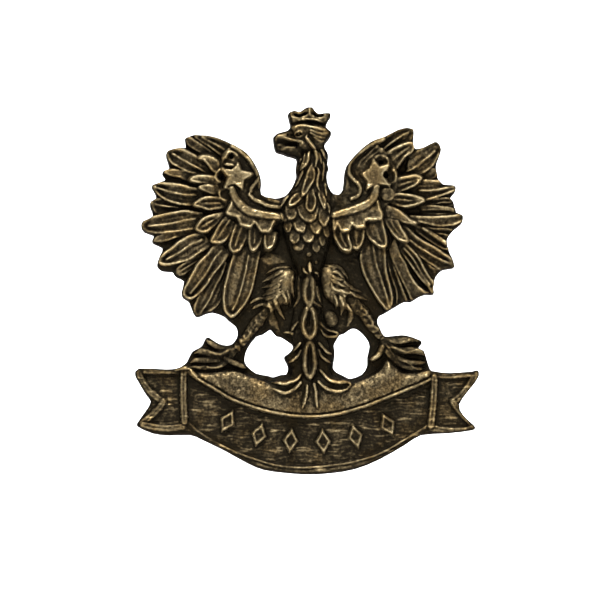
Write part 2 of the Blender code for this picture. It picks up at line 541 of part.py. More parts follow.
def spring_bow(name, material):
    """The bowed strip beside the leaves that pushes the wings apart."""
    bm = bmesh.new()
    rows = []
    outer = HUB_RADIUS - SHEET - GAP
    inner = outer - SPRING_SHEET
    section = [(inner, BOW_LEVELS[0]), (outer, BOW_LEVELS[0]), (outer, BOW_LEVELS[1]), (inner, BOW_LEVELS[1])]
    for k in range(13):
        angle = math.radians(45 + 7.5 * k)
        rows.append([Vector((r * math.cos(angle), y, r * math.sin(angle))) * MM for r, y in section])
    skin(bm, rows)
    return object_from(name, bm, material)


def main():
    for old in list(bpy.data.objects):
        bpy.data.objects.remove(old)
    antique = metal("antique_brass", (0.21, 0.16, 0.085), 0.45)
    brass = metal("clutch_brass", (0.62, 0.47, 0.2), 0.3)
    spring = metal("spring_brass", (0.66, 0.5, 0.24), 0.28)
    nail = metal("post_steel", (0.55, 0.52, 0.42), 0.35)
    solder = metal("solder", (0.42, 0.41, 0.38), 0.5)
    badge_casting(antique)
    for label, sign in (("left", -1), ("right", 1)):
        fixed = bpy.data.objects.new(label + "_post_axis", None)
        fixed.location = (sign * POST_SPACING / 2 * MM, 0, 0)
        seat = bpy.data.objects.new(label + "_clutch_seat", None)
        seat.location = (sign * POST_SPACING / 2 * MM, CLOTH * MM, 0)
        for empty in (fixed, seat):
            bpy.context.scene.collection.objects.link(empty)
        held = [post(label + "_post", nail), solder_fillet(label + "_solder", solder)]
        clutch = [
            clutch_base(label + "_clutch_base", brass),
            clutch_cover(label + "_clutch_cover", brass),
            spring_bow(label + "_clutch_spring", spring),
            wing(label + "_clutch_wing_a", 1, LEAF_LEVELS[0], spring),
            wing(label + "_clutch_wing_b", -1, LEAF_LEVELS[1], spring),
        ]
        for piece in held:
            piece.parent = fixed
        for piece in clutch:
            piece.parent = seat


main()
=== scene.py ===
"""Looks of the cap badge: an antiqued cast eagle over a scroll, with plated posts and stamped clutches.

The casting's face is a relief, modelled in millimetres as a height above the flat back on a fine grid in
(x, z) and then meshed. As in the CAD, z is counted there from a level POST_LEVEL below the posts.
"""
import math

import bmesh
import bpy
import numpy as np
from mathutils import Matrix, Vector


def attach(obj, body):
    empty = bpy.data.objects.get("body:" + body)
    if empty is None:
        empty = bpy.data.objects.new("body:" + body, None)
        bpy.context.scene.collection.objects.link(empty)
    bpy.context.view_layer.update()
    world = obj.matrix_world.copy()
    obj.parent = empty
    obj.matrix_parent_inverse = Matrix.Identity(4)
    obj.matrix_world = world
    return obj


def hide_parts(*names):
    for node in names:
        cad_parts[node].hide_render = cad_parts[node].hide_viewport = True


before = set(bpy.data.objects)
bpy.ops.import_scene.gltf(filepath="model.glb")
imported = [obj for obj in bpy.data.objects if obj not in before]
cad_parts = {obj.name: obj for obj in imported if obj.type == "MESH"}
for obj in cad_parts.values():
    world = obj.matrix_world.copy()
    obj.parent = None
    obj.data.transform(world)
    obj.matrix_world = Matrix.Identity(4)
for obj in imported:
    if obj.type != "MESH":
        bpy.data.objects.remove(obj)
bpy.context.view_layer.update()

MM = 0.001
POST_LEVEL = 7.0
STEP = 0.075  # spacing of the grid
GRID_LOW, GRID_HIGH = (-22.0, -22.2), (22.0, 24.6)
MAX_TRIANGLES = 190000

# Heights above the back, in millimetres: the plate between the forms and the limits of the face, the
# layers of feathers, the hollow of the shoulders, and the field and pebbled ledge of the scroll
PLATE, LOWEST, HIGHEST = 0.95, 0.8, 4.02
UNDER, QUILL, COVERT, SCAPULAR, SHOULDER = 1.3, 1.65, 2.15, 2.5, 2.1
FIELD, LEDGE = 1.5, 2.35

# Feathers: heights of rim and rib, the same on the coverts, the lines' width, the gullies beside them,
# the barbs, the tilt across, the lift at the tip, and how far each lies over the one before
RIM, RIB = 0.36, 0.38
COVERT_RIM, COVERT_RIB = 0.28, 0.17
LINE, GULLY, BARBS = 0.15, 0.14, 0.02
TILT, LIFT, OVERLAP = 0.16, 0.12, 0.02

# Tint makes the patina lighter where it is above 0 and darker where it is below. In places it also carries
# painted shade and shadow.
FEATHER_TINT, COVERT_TINT = 0.04, -0.06
# Of these: the patina on the plate between the forms, a painted shadow above the pebbled ledge's upper edge,
# and painted shade within half a millimetre of the casting's edge
GROUND_TINT, LEDGE_SHADOW_TINT, EDGE_SHADE = -0.3, -0.6, 0.5
BACK_DEPTH, BACK_SHADE = 0.05, 0.6

# Heights against their mean within a radius give the worn ridges (near) and the high places (wide)
NEAR_RADIUS, NEAR_RANGE = 0.32, 0.6
WIDE_RADIUS, WIDE_RANGE = 1.1, 1.7

# The wall round the casting: its draft, and each ring down it as (share of the draft, roughness, share of
# the height). The skin of the casting is (height, radius, seed) of its grain, fine and coarse.
DRAFT = 0.22
WALL_RINGS = [(0.55, 0.025, 0.75), (0.6, 0.05, 0.3)]
CAST_SKIN = [(0.05, 0.1, 19), (0.05, 0.35, 23)]


# ---------------------------------------------------------------- curves and distances
def spline(p, t):
    """Catmull-Rom points between p[1] and p[2] at each t."""
    a, b, c, d = p
    return 0.5 * (2 * b + (c - a) * t + (2 * a - 5 * b + 4 * c - d) * t**2 + (3 * b - a - 3 * c + d) * t**3)


def curve(points, per_span=6):
    """A smooth line through the points."""
    p = np.array(points, float)
    p = np.vstack([2 * p[0] - p[1], p, 2 * p[-1] - p[-2]])
    t = np.linspace(0, 1, per_span, endpoint=False)[:, None]
    spans = [spline(p[i:i + 4], t) for i in range(len(p) - 3)]
    return np.vstack(spans + [p[-2][None]])


def loop(points, per_span=4):
    """A smooth closed outline through the points."""
    p = np.array(points, float)
    t = np.linspace(0, 1, per_span, endpoint=False)[:, None]
    near = [np.roll(p, k, axis=0) for k in (1, 0, -1, -2)]
    return np.vstack([spline([q[i] for q in near], t) for i in range(len(p))])


def line_distance(x, z, line):
    """Distance from each grid point to a polyline, and how far along it (0 to 1) its nearest point is."""
    best, where = np.full(x.shape, 1e9), np.zeros(x.shape)
    lengths = np.linalg.norm(np.diff(line, axis=0), axis=1)
    done = 0.0
    for (ax, az), (bx, bz), length in zip(line, line[1:], lengths):
        if length < 1e-9:
            continue
        ux, uz = (bx - ax) / length, (bz - az) / length
        t = np.clip((x - ax) * ux + (z - az) * uz, 0, length)
        d = (x - ax - ux * t) ** 2 + (z - az - uz * t) ** 2
        near = d < best
        best = np.where(near, d, best)
        where = np.where(near, done + t, where)
        done += length
    return np.sqrt(best), where / max(done, 1e-9)


def outline_distance(x, z, outline):
    """Signed distance to a closed outline, negative inside."""
    best, inside = np.full(x.shape, 1e9), np.zeros(x.shape, bool)
    for (ax, az), (bx, bz) in zip(outline, np.roll(outline, -1, axis=0)):
        dx, dz = bx - ax, bz - az
        squared = dx * dx + dz * dz
        if squared < 1e-12:
            continue
        t = np.clip(((x - ax) * dx + (z - az) * dz) / squared, 0, 1)
        best = np.minimum(best, (x - ax - dx * t) ** 2 + (z - az - dz * t) ** 2)
        if az != bz:
            inside ^= ((az > z) != (bz > z)) & (x < ax + (z - az) * dx / dz)
    return np.where(inside, -1, 1) * np.sqrt(best)


def smooth(low, high, value):
    """Rises smoothly from 0 at low to 1 at high, or falls if low is the larger."""
    t = np.clip((value - low) / (high - low), 0, 1)
    return t * t * (3 - 2 * t)


def hump(d, width):
    """A smooth hump, 1 at d = 0 and gone beyond about two widths."""
    return np.exp(-((d / width) ** 2))


def blur(a, radius):
    """Gaussian blur by a radius in millimetres."""
    sigma = radius / STEP
    reach = int(math.ceil(2.5 * sigma))
    k = np.exp(-0.5 * (np.arange(-reach, reach + 1) / sigma) ** 2)
    k /= k.sum()
    for _ in range(2):
        p = np.pad(a, ((reach, reach), (0, 0)), mode="edge")
        a = sum(w * p[i:i + a.shape[0]] for i, w in enumerate(k)).T
    return a


def grain(shape, radius, seed):
    """Smooth random bumps of that size, mostly between -1 and 1."""
    a = blur(np.random.default_rng(seed).standard_normal(shape), radius)
    return a / (2 * a.std())


# ---------------------------------------------------------------- the relief
class Relief:
    """Heights over a grid. Shapes are laid on it in order, each over those before it."""

    def __init__(self):
        counts = [int(math.ceil((high - low) / STEP)) + 1 for low, high in zip(GRID_LOW, GRID_HIGH)]
        axes = [low + STEP * np.arange(n) for low, n in zip(GRID_LOW, counts)]
        self.x, self.z = np.meshgrid(*axes, indexing="ij")
        self.h = PLATE + 0.05 * grain(self.x.shape, 0.3, 1)
        self.uneven = grain(self.x.shape, 0.45, 2)
        self.form = self.h.copy()
        self.pebble = np.zeros(self.x.shape)
        self.wood = np.zeros(self.x.shape)
        self.tint = np.full(self.x.shape, GROUND_TINT)

    def window(self, points, margin=1.0):
        """The part of the grid that holds the points."""
        p = np.asarray(points)
        low = np.maximum(((p.min(0) - margin - GRID_LOW) / STEP).astype(int), 0)
        high = ((p.max(0) + margin - GRID_LOW) / STEP).astype(int) + 2
        return slice(low[0], high[0]), slice(low[1], high[1])

    def shade(self, w, d, tint):
        """Sets the tint where d < 0."""
        self.tint[w] = np.where(d < 0, tint, self.tint[w])

    def roughen(self, w, d, height, radius, seed):
        """Adds grain where d < 0."""
        self.h[w] += np.where(d < 0, height * grain(self.x.shape, radius, seed)[w], 0)

    def lay(self, w, d, tops, groove, slope):
        """Puts tops where d < 0, a steep flank round them and a groove at its foot."""
        h = self.h[w]
        foot = np.clip(1 - d / 0.4, 0, 1) ** 2 * groove
        around = np.maximum(np.maximum(h - foot, np.minimum(h, PLATE - 0.15)), tops - slope * d)
        self.h[w] = np.where(d < 0, tops, np.where(d < 1.0, around, h))

    def shape(self, outline, tops, grow=0.0, groove=0.2, slope=2.4):
        """Lays a shape. tops(x, z, d) is its height, d being the distance from its edge, negative inside."""
        w = self.window(outline)
        x, z = self.x[w], self.z[w]
        d = outline_distance(x, z, outline) - grow
        self.lay(w, d, tops(x, z, np.minimum(d, 0)), groove, slope)
        return w, d

    def ridge(self, points, height=0.3, width=LINE, ends=(0.12, 0.12)):
        """Raises a line on what is there, fading at its ends."""
        line = curve(points)
        w = self.window(line)
        d, t = line_distance(self.x[w], self.z[w], line)
        strength = hump(d, width)
        if ends[0]:
            strength = strength * smooth(-0.02, ends[0], t)
        if ends[1]:
            strength = strength * smooth(-0.02, ends[1], 1 - t)
        self.h[w] += height * strength * (1 + 0.35 * self.uneven[w])

    def bar(self, points, half, level, crown=0.25, groove=0.25, ends=(0.0, 0.0), tint=0.0, on_form=False):
        """Lays a rounded bar along the points. half is its half width, or a list of them from end to end.

        With on_form, its level counts from the rounded form under it.
        """
        line = curve(points)
        w = self.window(line, 1.0 + np.max(half))
        d, t = line_distance(self.x[w], self.z[w], line)
        wide = np.interp(t, np.linspace(0, 1, np.size(half)), np.atleast_1d(half))
        for k, s in ((ends[0], t), (ends[1], 1 - t)):
            if k:
                wide = wide * (0.2 + 0.8 * smooth(0, k, s))
        round_top = crown * np.sqrt(np.clip(1 - (d / wide) ** 2, 0, 1)) * (1 + 0.3 * self.uneven[w])
        base = level + self.form[w] if on_form else level
        self.lay(w, d - wide, base + round_top, groove, 2.6)
        self.shade(w, d - wide, tint)

    def feather(self, rim, rib, level, rim_height, rib_height, tint):
        """A feather inside its rim, which runs from the root out to the tip and back."""
        edge = curve(rim)
        spine = curve(rib) if rib else None
        tip, root = edge[len(edge) // 2], (edge[0] + edge[-1]) / 2
        along = (tip - root) / np.linalg.norm(tip - root)
        side = np.array([-along[1], along[0]]) * (1 if along[0] < 0 else -1)
        half = max(np.ptp((edge - root) @ side) / 2, 0.3)
        uneven = self.uneven[self.window(edge)]

        def tops(x, z, d):
            away, t = line_distance(x, z, edge)
            fade = smooth(-0.05, 0.2, t) * smooth(-0.05, 0.2, 1 - t) * (0.8 + 0.45 * uneven)
            h = level + LIFT * np.exp(-((x - tip[0]) ** 2 + (z - tip[1]) ** 2) / 4)
            h = h - TILT * np.clip(((x - root[0]) * side[0] + (z - root[1]) * side[1]) / half, -1.2, 1.2)
            h = h + rim_height * fade * hump(away, LINE * (1 + 0.3 * uneven))
            if spine is not None:
                across, s = line_distance(x, z, spine)
                h = h - GULLY * hump(away - 2.6 * LINE, LINE)
                h = h - GULLY * rib_height / RIB * hump(across - 2.2 * LINE, LINE)
                h = h + rib_height * (0.8 + 0.4 * uneven) * hump(across, 0.85 * LINE)
                h = h + BARBS * np.sin(18 * s * len(rib) + 9 * across) * smooth(0.12, 0.3, across)
            return h

        w, d = self.shape(edge, tops, grow=0.1, groove=0.4)
        self.shade(w, d, tint)

    def scale(self, rim, tint=0.0, hollow=0.0):
        """A small feather on a rounded form, sunk at its root and standing up at its tip, like a tile."""
        edge = curve(rim)
        tip, root = edge[len(edge) // 2], (edge[0] + edge[-1]) / 2
        along = tip - root
        length = np.hypot(*along)
        outline = np.vstack([edge, root - 0.6 * along / length])
        w = self.window(outline)
        base, uneven = self.form[w], self.uneven[w]

        def tops(x, z, d):
            away, t = line_distance(x, z, edge)
            fade = smooth(-0.05, 0.25, t) * smooth(-0.05, 0.25, 1 - t)
            up = np.clip(((x - root[0]) * along[0] + (z - root[1]) * along[1]) / length ** 2, -0.8, 1.2)
            h = base + 0.06 + 0.2 * up - hollow * smooth(0.15, 0.35, away)
            return h + (0.2 + hollow + 0.08 * uneven) * fade * hump(away, 0.16)

        w, d = self.shape(outline, tops, grow=0.08, groove=0.3)
        self.shade(w, d, tint)

    def dome(self, outline, level, rise, width, groove=0.2, tint=0.0, slope=2.4, merge=False):
        """A rounded form that rises from its edge over a width. Later shapes may lie on it.

        With merge, what stands higher near its edge comes through it.
        """
        before = self.h.copy()

        def tops(x, z, d):
            return level + rise * np.sqrt(np.clip(1 - (1 + np.maximum(d, -width) / width) ** 2, 0, 1))

        w, d = self.shape(loop(outline), tops, groove=groove, slope=slope)
        if merge:
            self.h[w] = np.maximum(self.h[w], before[w])
        self.form[w] = np.where(d < 0, self.h[w], self.form[w])
        self.shade(w, d, tint)
        return w, d

    def settle(self, radius):
        """Later shapes may also lie on what has been laid so far, evened out."""
        self.form = np.maximum(self.form, blur(self.h, radius))

    def ball(self, x, z, radius, rise, stretch=1.0):
        """A round boss on what is there. A negative rise makes a pit."""
        w = self.window([(x, z)], 2 * radius + 0.5)
        away = np.hypot(self.x[w] - x, (self.z[w] - z) / stretch) / radius
        form = np.sqrt(np.clip(1 - away * away, 0, 1)) if rise > 0 else 1 - smooth(0.6, 1.1, away)
        self.h[w] += rise * form


# ---------------------------------------------------------------- outline of the casting
SILHOUETTE = [
    # crown and the back of the head and neck
    (-2.33, 22.95), (-1.85, 22.8), (-1.5, 23.0), (-0.9, 22.8), (-0.5, 23.05), (0.0, 23.35), (0.35, 23.4),
    (0.75, 23.4), (1.05, 23.0), (1.5, 22.6), (2.1, 22.7), (2.8, 22.7), (3.1, 22.4), (2.8, 21.9),
    (2.42, 21.0), (3.0, 20.5), (3.15, 20.2), (2.7, 19.4), (2.25, 18.75), (2.6, 18.0), (2.75, 17.6),
    (2.65, 16.5), (2.8, 15.95), (2.6, 15.4), (2.6, 14.5), (3.05, 13.2), (3.8, 12.8), (4.45, 13.4),
    # right wing
    (4.6, 15.0), (4.9, 16.3), (6.0, 17.7), (7.7, 19.2), (9.5, 19.9), (11.0, 20.7), (12.0, 21.0),
    (12.9, 20.9), (13.2, 20.5), (13.1, 18.8), (13.4, 18.5), (14.2, 18.6), (15.6, 19.3), (16.2, 19.0),
    (16.5, 18.2), (16.0, 16.8), (15.9, 15.8), (16.3, 14.4), (17.0, 14.1), (18.0, 14.0), (18.3, 13.6),
    (18.1, 13.0), (17.6, 12.4), (18.0, 12.0), (18.3, 10.7), (19.0, 10.4), (19.15, 9.9), (18.9, 9.2),
    (18.0, 8.5), (17.3, 7.6), (17.2, 6.8), (17.6, 5.6), (18.1, 4.2), (17.8, 3.8), (16.6, 3.6),
    (15.8, 2.8), (15.5, 1.5), (15.6, 0.6), (14.5, 0.6), (13.5, 0.2), (12.7, -0.3), (11.9, -0.3),
    (11.0, -0.8), (9.5, -1.7), (8.9, -2.0), (8.7, -2.6), (8.9, -3.3), (9.4, -4.2),
    # right foot
    (9.8, -4.4), (10.8, -4.3), (12.2, -4.25), (14.0, -4.9), (14.2, -5.2), (13.7, -5.8), (14.3, -6.1),
    (14.7, -7.2), (15.1, -8.4),
    # right swallowtail
    (15.6, -8.6), (17.0, -8.8), (18.5, -8.75), (20.3, -8.6), (20.9, -8.4), (21.0, -9.2), (20.5, -10.1),
    (19.6, -11.2), (18.6, -12.7), (19.0, -13.8), (20.0, -14.8), (20.5, -15.3), (20.3, -15.8), (17.0, -16.2),
    # bottom of the scroll
    (14.0, -16.4), (12.0, -17.6), (9.0, -19.3), (6.0, -20.5), (3.0, -21.0), (0.0, -21.15), (-4.0, -20.8),
    (-6.0, -20.3), (-8.0, -19.3), (-10.0, -18.2), (-12.5, -17.0), (-14.0, -16.4),
    # left swallowtail
    (-16.5, -16.45), (-18.5, -16.2), (-20.3, -15.4), (-20.4, -14.9), (-19.2, -13.2), (-18.8, -12.3),
    (-19.3, -11.6), (-20.3, -9.9), (-20.7, -9.1), (-20.2, -8.3), (-17.0, -8.4), (-15.7, -8.3),
    # left foot
    (-15.0, -8.0), (-14.4, -7.5), (-13.8, -6.3), (-12.9, -5.8), (-12.5, -5.4), (-12.0, -4.45),
    (-11.2, -4.9), (-10.5, -5.3), (-9.6, -5.5), (-8.9, -5.3), (-8.4, -4.6), (-8.3, -4.0), (-8.5, -3.3),
    # left wing
    (-9.4, -2.6), (-9.9, -2.1), (-11.3, -1.6), (-12.4, -1.9), (-13.2, -2.2), (-13.7, -1.6), (-14.2, -0.3),
    (-14.9, 0.1), (-15.1, 0.9), (-14.8, 2.2), (-15.6, 2.6), (-16.0, 3.0), (-16.2, 3.3), (-17.4, 3.4),
    (-18.1, 4.1), (-17.7, 5.4), (-17.4, 6.2), (-18.5, 6.7), (-18.7, 7.2), (-18.5, 7.7), (-19.6, 8.1),
    (-20.0, 8.8), (-19.8, 9.5), (-18.6, 10.1), (-18.9, 11.1), (-18.9, 11.9), (-18.2, 12.3), (-18.5, 13.1),
    (-18.8, 13.8), (-17.8, 14.2), (-17.1, 14.6), (-17.5, 15.1), (-17.3, 15.7), (-16.6, 15.9),
    (-17.0, 17.2), (-16.9, 18.0), (-15.9, 18.4), (-14.65, 18.5), (-14.8, 19.55), (-14.25, 19.75),
    (-13.8, 20.05), (-12.0, 19.95), (-10.5, 19.6), (-8.4, 18.6), (-7.2, 17.8), (-6.5, 17.0), (-5.6, 15.3),
    (-5.4, 14.0), (-5.4, 12.8),
    # front of the neck and the beak
    (-4.0, 12.35), (-2.7, 12.6), (-2.2, 13.0), (-1.6, 13.9), (-1.2, 15.0), (-1.3, 15.6), (-1.2, 16.5),
    (-1.25, 17.1), (-2.3, 17.4), (-2.9, 17.65), (-3.6, 17.85), (-3.85, 18.3), (-4.05, 19.65), (-3.8, 20.0),
    (-3.4, 20.25), (-2.5, 20.5), (-1.95, 21.0), (-2.05, 21.5), (-2.15, 22.0),
]
OPENINGS = [
    [(-6.0, -4.5), (-5.3, -4.3), (-4.5, -3.75), (-4.2, -3.75), (-3.6, -4.45), (-3.0, -4.6), (-1.9, -5.3),
     (-1.6, -5.75), (-1.9, -6.3), (-2.5, -6.75), (-2.7, -7.1), (-2.3, -7.9), (-2.2, -8.4), (-2.4, -9.0),
     (-3.0, -9.05), (-4.0, -9.35), (-4.6, -9.15), (-6.0, -8.9), (-7.2, -7.9), (-7.4, -7.0), (-7.0, -5.8)],
    [(5.9, -3.5), (5.3, -3.65), (4.6, -4.15), (4.1, -4.3), (3.6, -5.1), (3.4, -5.6), (3.5, -6.2),
     (3.45, -7.2), (3.3, -8.2), (3.7, -8.75), (4.4, -9.1), (5.0, -9.4), (5.5, -9.5), (6.8, -9.0),
     (7.4, -8.0), (7.4, -7.0), (7.7, -5.7), (7.4, -4.8), (6.6, -3.9)],
]

# ---------------------------------------------------------------- wings
# Each feather is its rim, from the root round the tip and back, and its rib. Under feathers come first.
LEFT_WING = {
    UNDER: [
        ([(-10.6, 17.2), (-12.2, 18.35), (-13.9, 19.4), (-14.6, 19.45), (-14.35, 18.8), (-13.6, 18.2),
          (-11.8, 17.2)], None),
        ([(-13.5, 15.2), (-14.8, 15.5), (-16.2, 15.6), (-17.1, 15.4), (-16.2, 14.95), (-15.3, 14.8),
          (-14.5, 14.4), (-13.6, 14.3)], None),
        ([(-14.0, 12.3), (-15.5, 12.3), (-17.4, 12.2), (-18.6, 11.8), (-18.5, 11.1), (-18.0, 10.4),
          (-16.8, 10.5), (-15.0, 10.9)], [(-18.6, 11.6), (-17.5, 11.3), (-15.5, 11.1)]),
        ([(-13.0, 8.3), (-14.4, 8.2), (-16.3, 8.0), (-17.8, 7.6), (-18.35, 7.0), (-17.2, 7.05),
          (-16.0, 7.4), (-14.0, 7.9)], None),
        ([(-12.5, 5.5), (-14.0, 4.7), (-15.3, 3.9), (-15.6, 3.3), (-15.2, 2.95), (-14.2, 3.4),
          (-13.0, 4.3)], [(-15.3, 3.3), (-14.3, 3.9), (-13.2, 4.6)]),
        ([(-9.9, 4.8), (-11.2, 3.0), (-12.4, 1.4), (-13.2, -0.2), (-13.5, -1.4), (-13.1, -1.95),
          (-12.4, -1.7), (-11.4, -1.3), (-10.4, -0.2), (-9.8, 1.5), (-9.3, 3.5)],
         [(-9.7, 4.5), (-10.2, 3.0), (-11.0, 1.5), (-11.7, 0.0), (-12.3, -1.0), (-12.8, -1.6)]),
    ],
    QUILL: [
        ([(-5.7, 15.3), (-6.15, 16.0), (-6.6, 16.9), (-7.3, 17.6), (-8.4, 18.35), (-9.5, 18.9),
          (-10.5, 19.35), (-12.0, 19.7), (-13.4, 19.8), (-13.1, 19.4), (-11.6, 18.4), (-10.1, 17.2),
          (-8.5, 15.6)], [(-12.6, 19.55), (-10.8, 18.6), (-9.2, 17.6)]),
        ([(-11.0, 16.2), (-12.3, 16.8), (-13.2, 17.15), (-13.8, 17.5), (-14.8, 18.0), (-15.8, 18.1),
          (-16.6, 17.9), (-16.75, 17.3), (-16.2, 16.45), (-15.4, 16.0), (-14.2, 15.4), (-13.0, 15.1),
          (-11.5, 14.7)], [(-16.2, 17.6), (-14.5, 16.6), (-13.0, 15.8), (-12.1, 15.2)]),
        ([(-12.5, 13.4), (-13.5, 13.4), (-14.2, 13.5), (-15.4, 13.8), (-17.5, 13.95), (-18.5, 13.75),
          (-18.25, 13.1), (-17.4, 12.3), (-16.4, 11.8), (-15.2, 11.5), (-14.0, 11.4), (-12.8, 11.4)],
         [(-18.2, 13.5), (-17.0, 13.1), (-15.8, 12.8), (-14.6, 12.6), (-13.4, 12.6)]),
        ([(-12.6, 10.4), (-13.8, 10.5), (-14.6, 10.6), (-16.0, 10.4), (-17.5, 10.1), (-18.8, 9.75),
          (-19.6, 9.3), (-19.75, 8.65), (-19.0, 8.15), (-17.8, 8.0), (-16.5, 8.1), (-15.0, 8.3),
          (-13.6, 8.5), (-12.5, 8.7)],
         [(-19.0, 8.8), (-17.5, 8.95), (-16.0, 9.2), (-14.5, 9.5), (-13.4, 9.7)]),
        ([(-12.4, 8.0), (-13.7, 7.7), (-15.0, 7.1), (-16.0, 6.3), (-17.4, 5.2), (-17.75, 4.5),
          (-17.0, 4.2), (-15.5, 4.4), (-14.0, 4.9), (-12.8, 5.7), (-11.6, 6.4)],
         [(-16.8, 4.8), (-15.2, 5.7), (-14.0, 6.5), (-12.6, 7.2)]),
        ([(-10.6, 7.0), (-11.3, 6.2), (-12.0, 5.3), (-13.0, 4.3), (-13.7, 3.1), (-14.3, 1.9),
          (-14.75, 1.0), (-14.6, 0.35), (-13.9, 0.1), (-13.2, 0.5), (-12.0, 1.8), (-11.2, 3.1),
          (-10.2, 4.3), (-9.4, 5.4)],
         [(-10.2, 5.9), (-11.0, 5.0), (-12.0, 3.3), (-13.0, 1.9), (-14.0, 0.7)]),
        ([(-8.6, 6.4), (-8.8, 5.2), (-9.3, 3.5), (-9.8, 1.5), (-9.95, 0.0), (-9.8, -1.2), (-9.4, -1.8),
          (-8.9, -2.1), (-8.2, -1.5), (-7.3, -0.3), (-6.6, 1.2), (-6.2, 3.0), (-5.8, 5.0), (-5.6, 6.0)],
         [(-7.0, 5.2), (-7.3, 3.5), (-7.9, 1.2), (-8.4, -0.3), (-8.9, -1.3)]),
    ],
    COVERT: [
        ([(-9.9, 15.7), (-10.5, 16.1), (-10.8, 16.65), (-11.5, 17.05), (-12.3, 17.2), (-12.95, 17.05),
          (-12.3, 16.8), (-11.8, 16.2), (-11.3, 15.5), (-10.6, 14.9)], None),
        ([(-10.8, 14.6), (-12.2, 14.8), (-13.5, 14.7), (-13.95, 14.3), (-12.5, 14.0), (-11.5, 13.8),
          (-10.7, 13.5)], None),
        ([(-10.6, 13.5), (-12.0, 13.65), (-12.9, 13.45), (-12.0, 13.0), (-10.8, 12.4)], None),
        ([(-10.2, 12.1), (-11.3, 12.25), (-12.2, 12.2), (-12.9, 11.9), (-13.5, 11.35), (-12.5, 11.05),
          (-11.7, 10.8), (-11.0, 10.9), (-9.9, 11.1)], [(-12.8, 11.5), (-11.6, 11.5), (-10.4, 11.6)]),
        ([(-10.2, 10.35), (-12.0, 9.85), (-12.8, 9.3), (-13.2, 8.45), (-12.2, 8.1), (-11.4, 8.6),
          (-10.6, 9.4), (-10.1, 10.1)], [(-12.6, 8.7), (-11.4, 9.4), (-10.4, 10.1)]),
        ([(-9.7, 9.8), (-10.5, 8.9), (-11.0, 7.9), (-11.4, 7.0), (-10.5, 6.8), (-9.8, 7.1),
          (-9.2, 7.9), (-8.7, 9.2)], [(-10.8, 7.3), (-10.1, 8.3), (-9.3, 9.5)]),
        ([(-8.5, 8.9), (-9.0, 7.5), (-9.2, 6.4), (-8.8, 5.75), (-8.2, 5.9), (-7.8, 6.4), (-7.2, 7.5),
          (-6.9, 8.3)], [(-8.6, 6.4), (-8.3, 7.4), (-7.8, 8.7)]),
        ([(-6.8, 8.8), (-6.9, 7.2), (-6.8, 6.4), (-6.4, 5.85), (-5.9, 6.3), (-5.5, 7.0), (-5.2, 7.9)],
         [(-6.3, 8.7), (-6.3, 6.8)]),
        ([(-5.0, 8.0), (-5.0, 6.6), (-4.7, 6.1), (-4.2, 6.3), (-3.8, 7.2), (-3.7, 8.0)], None),
    ],
}
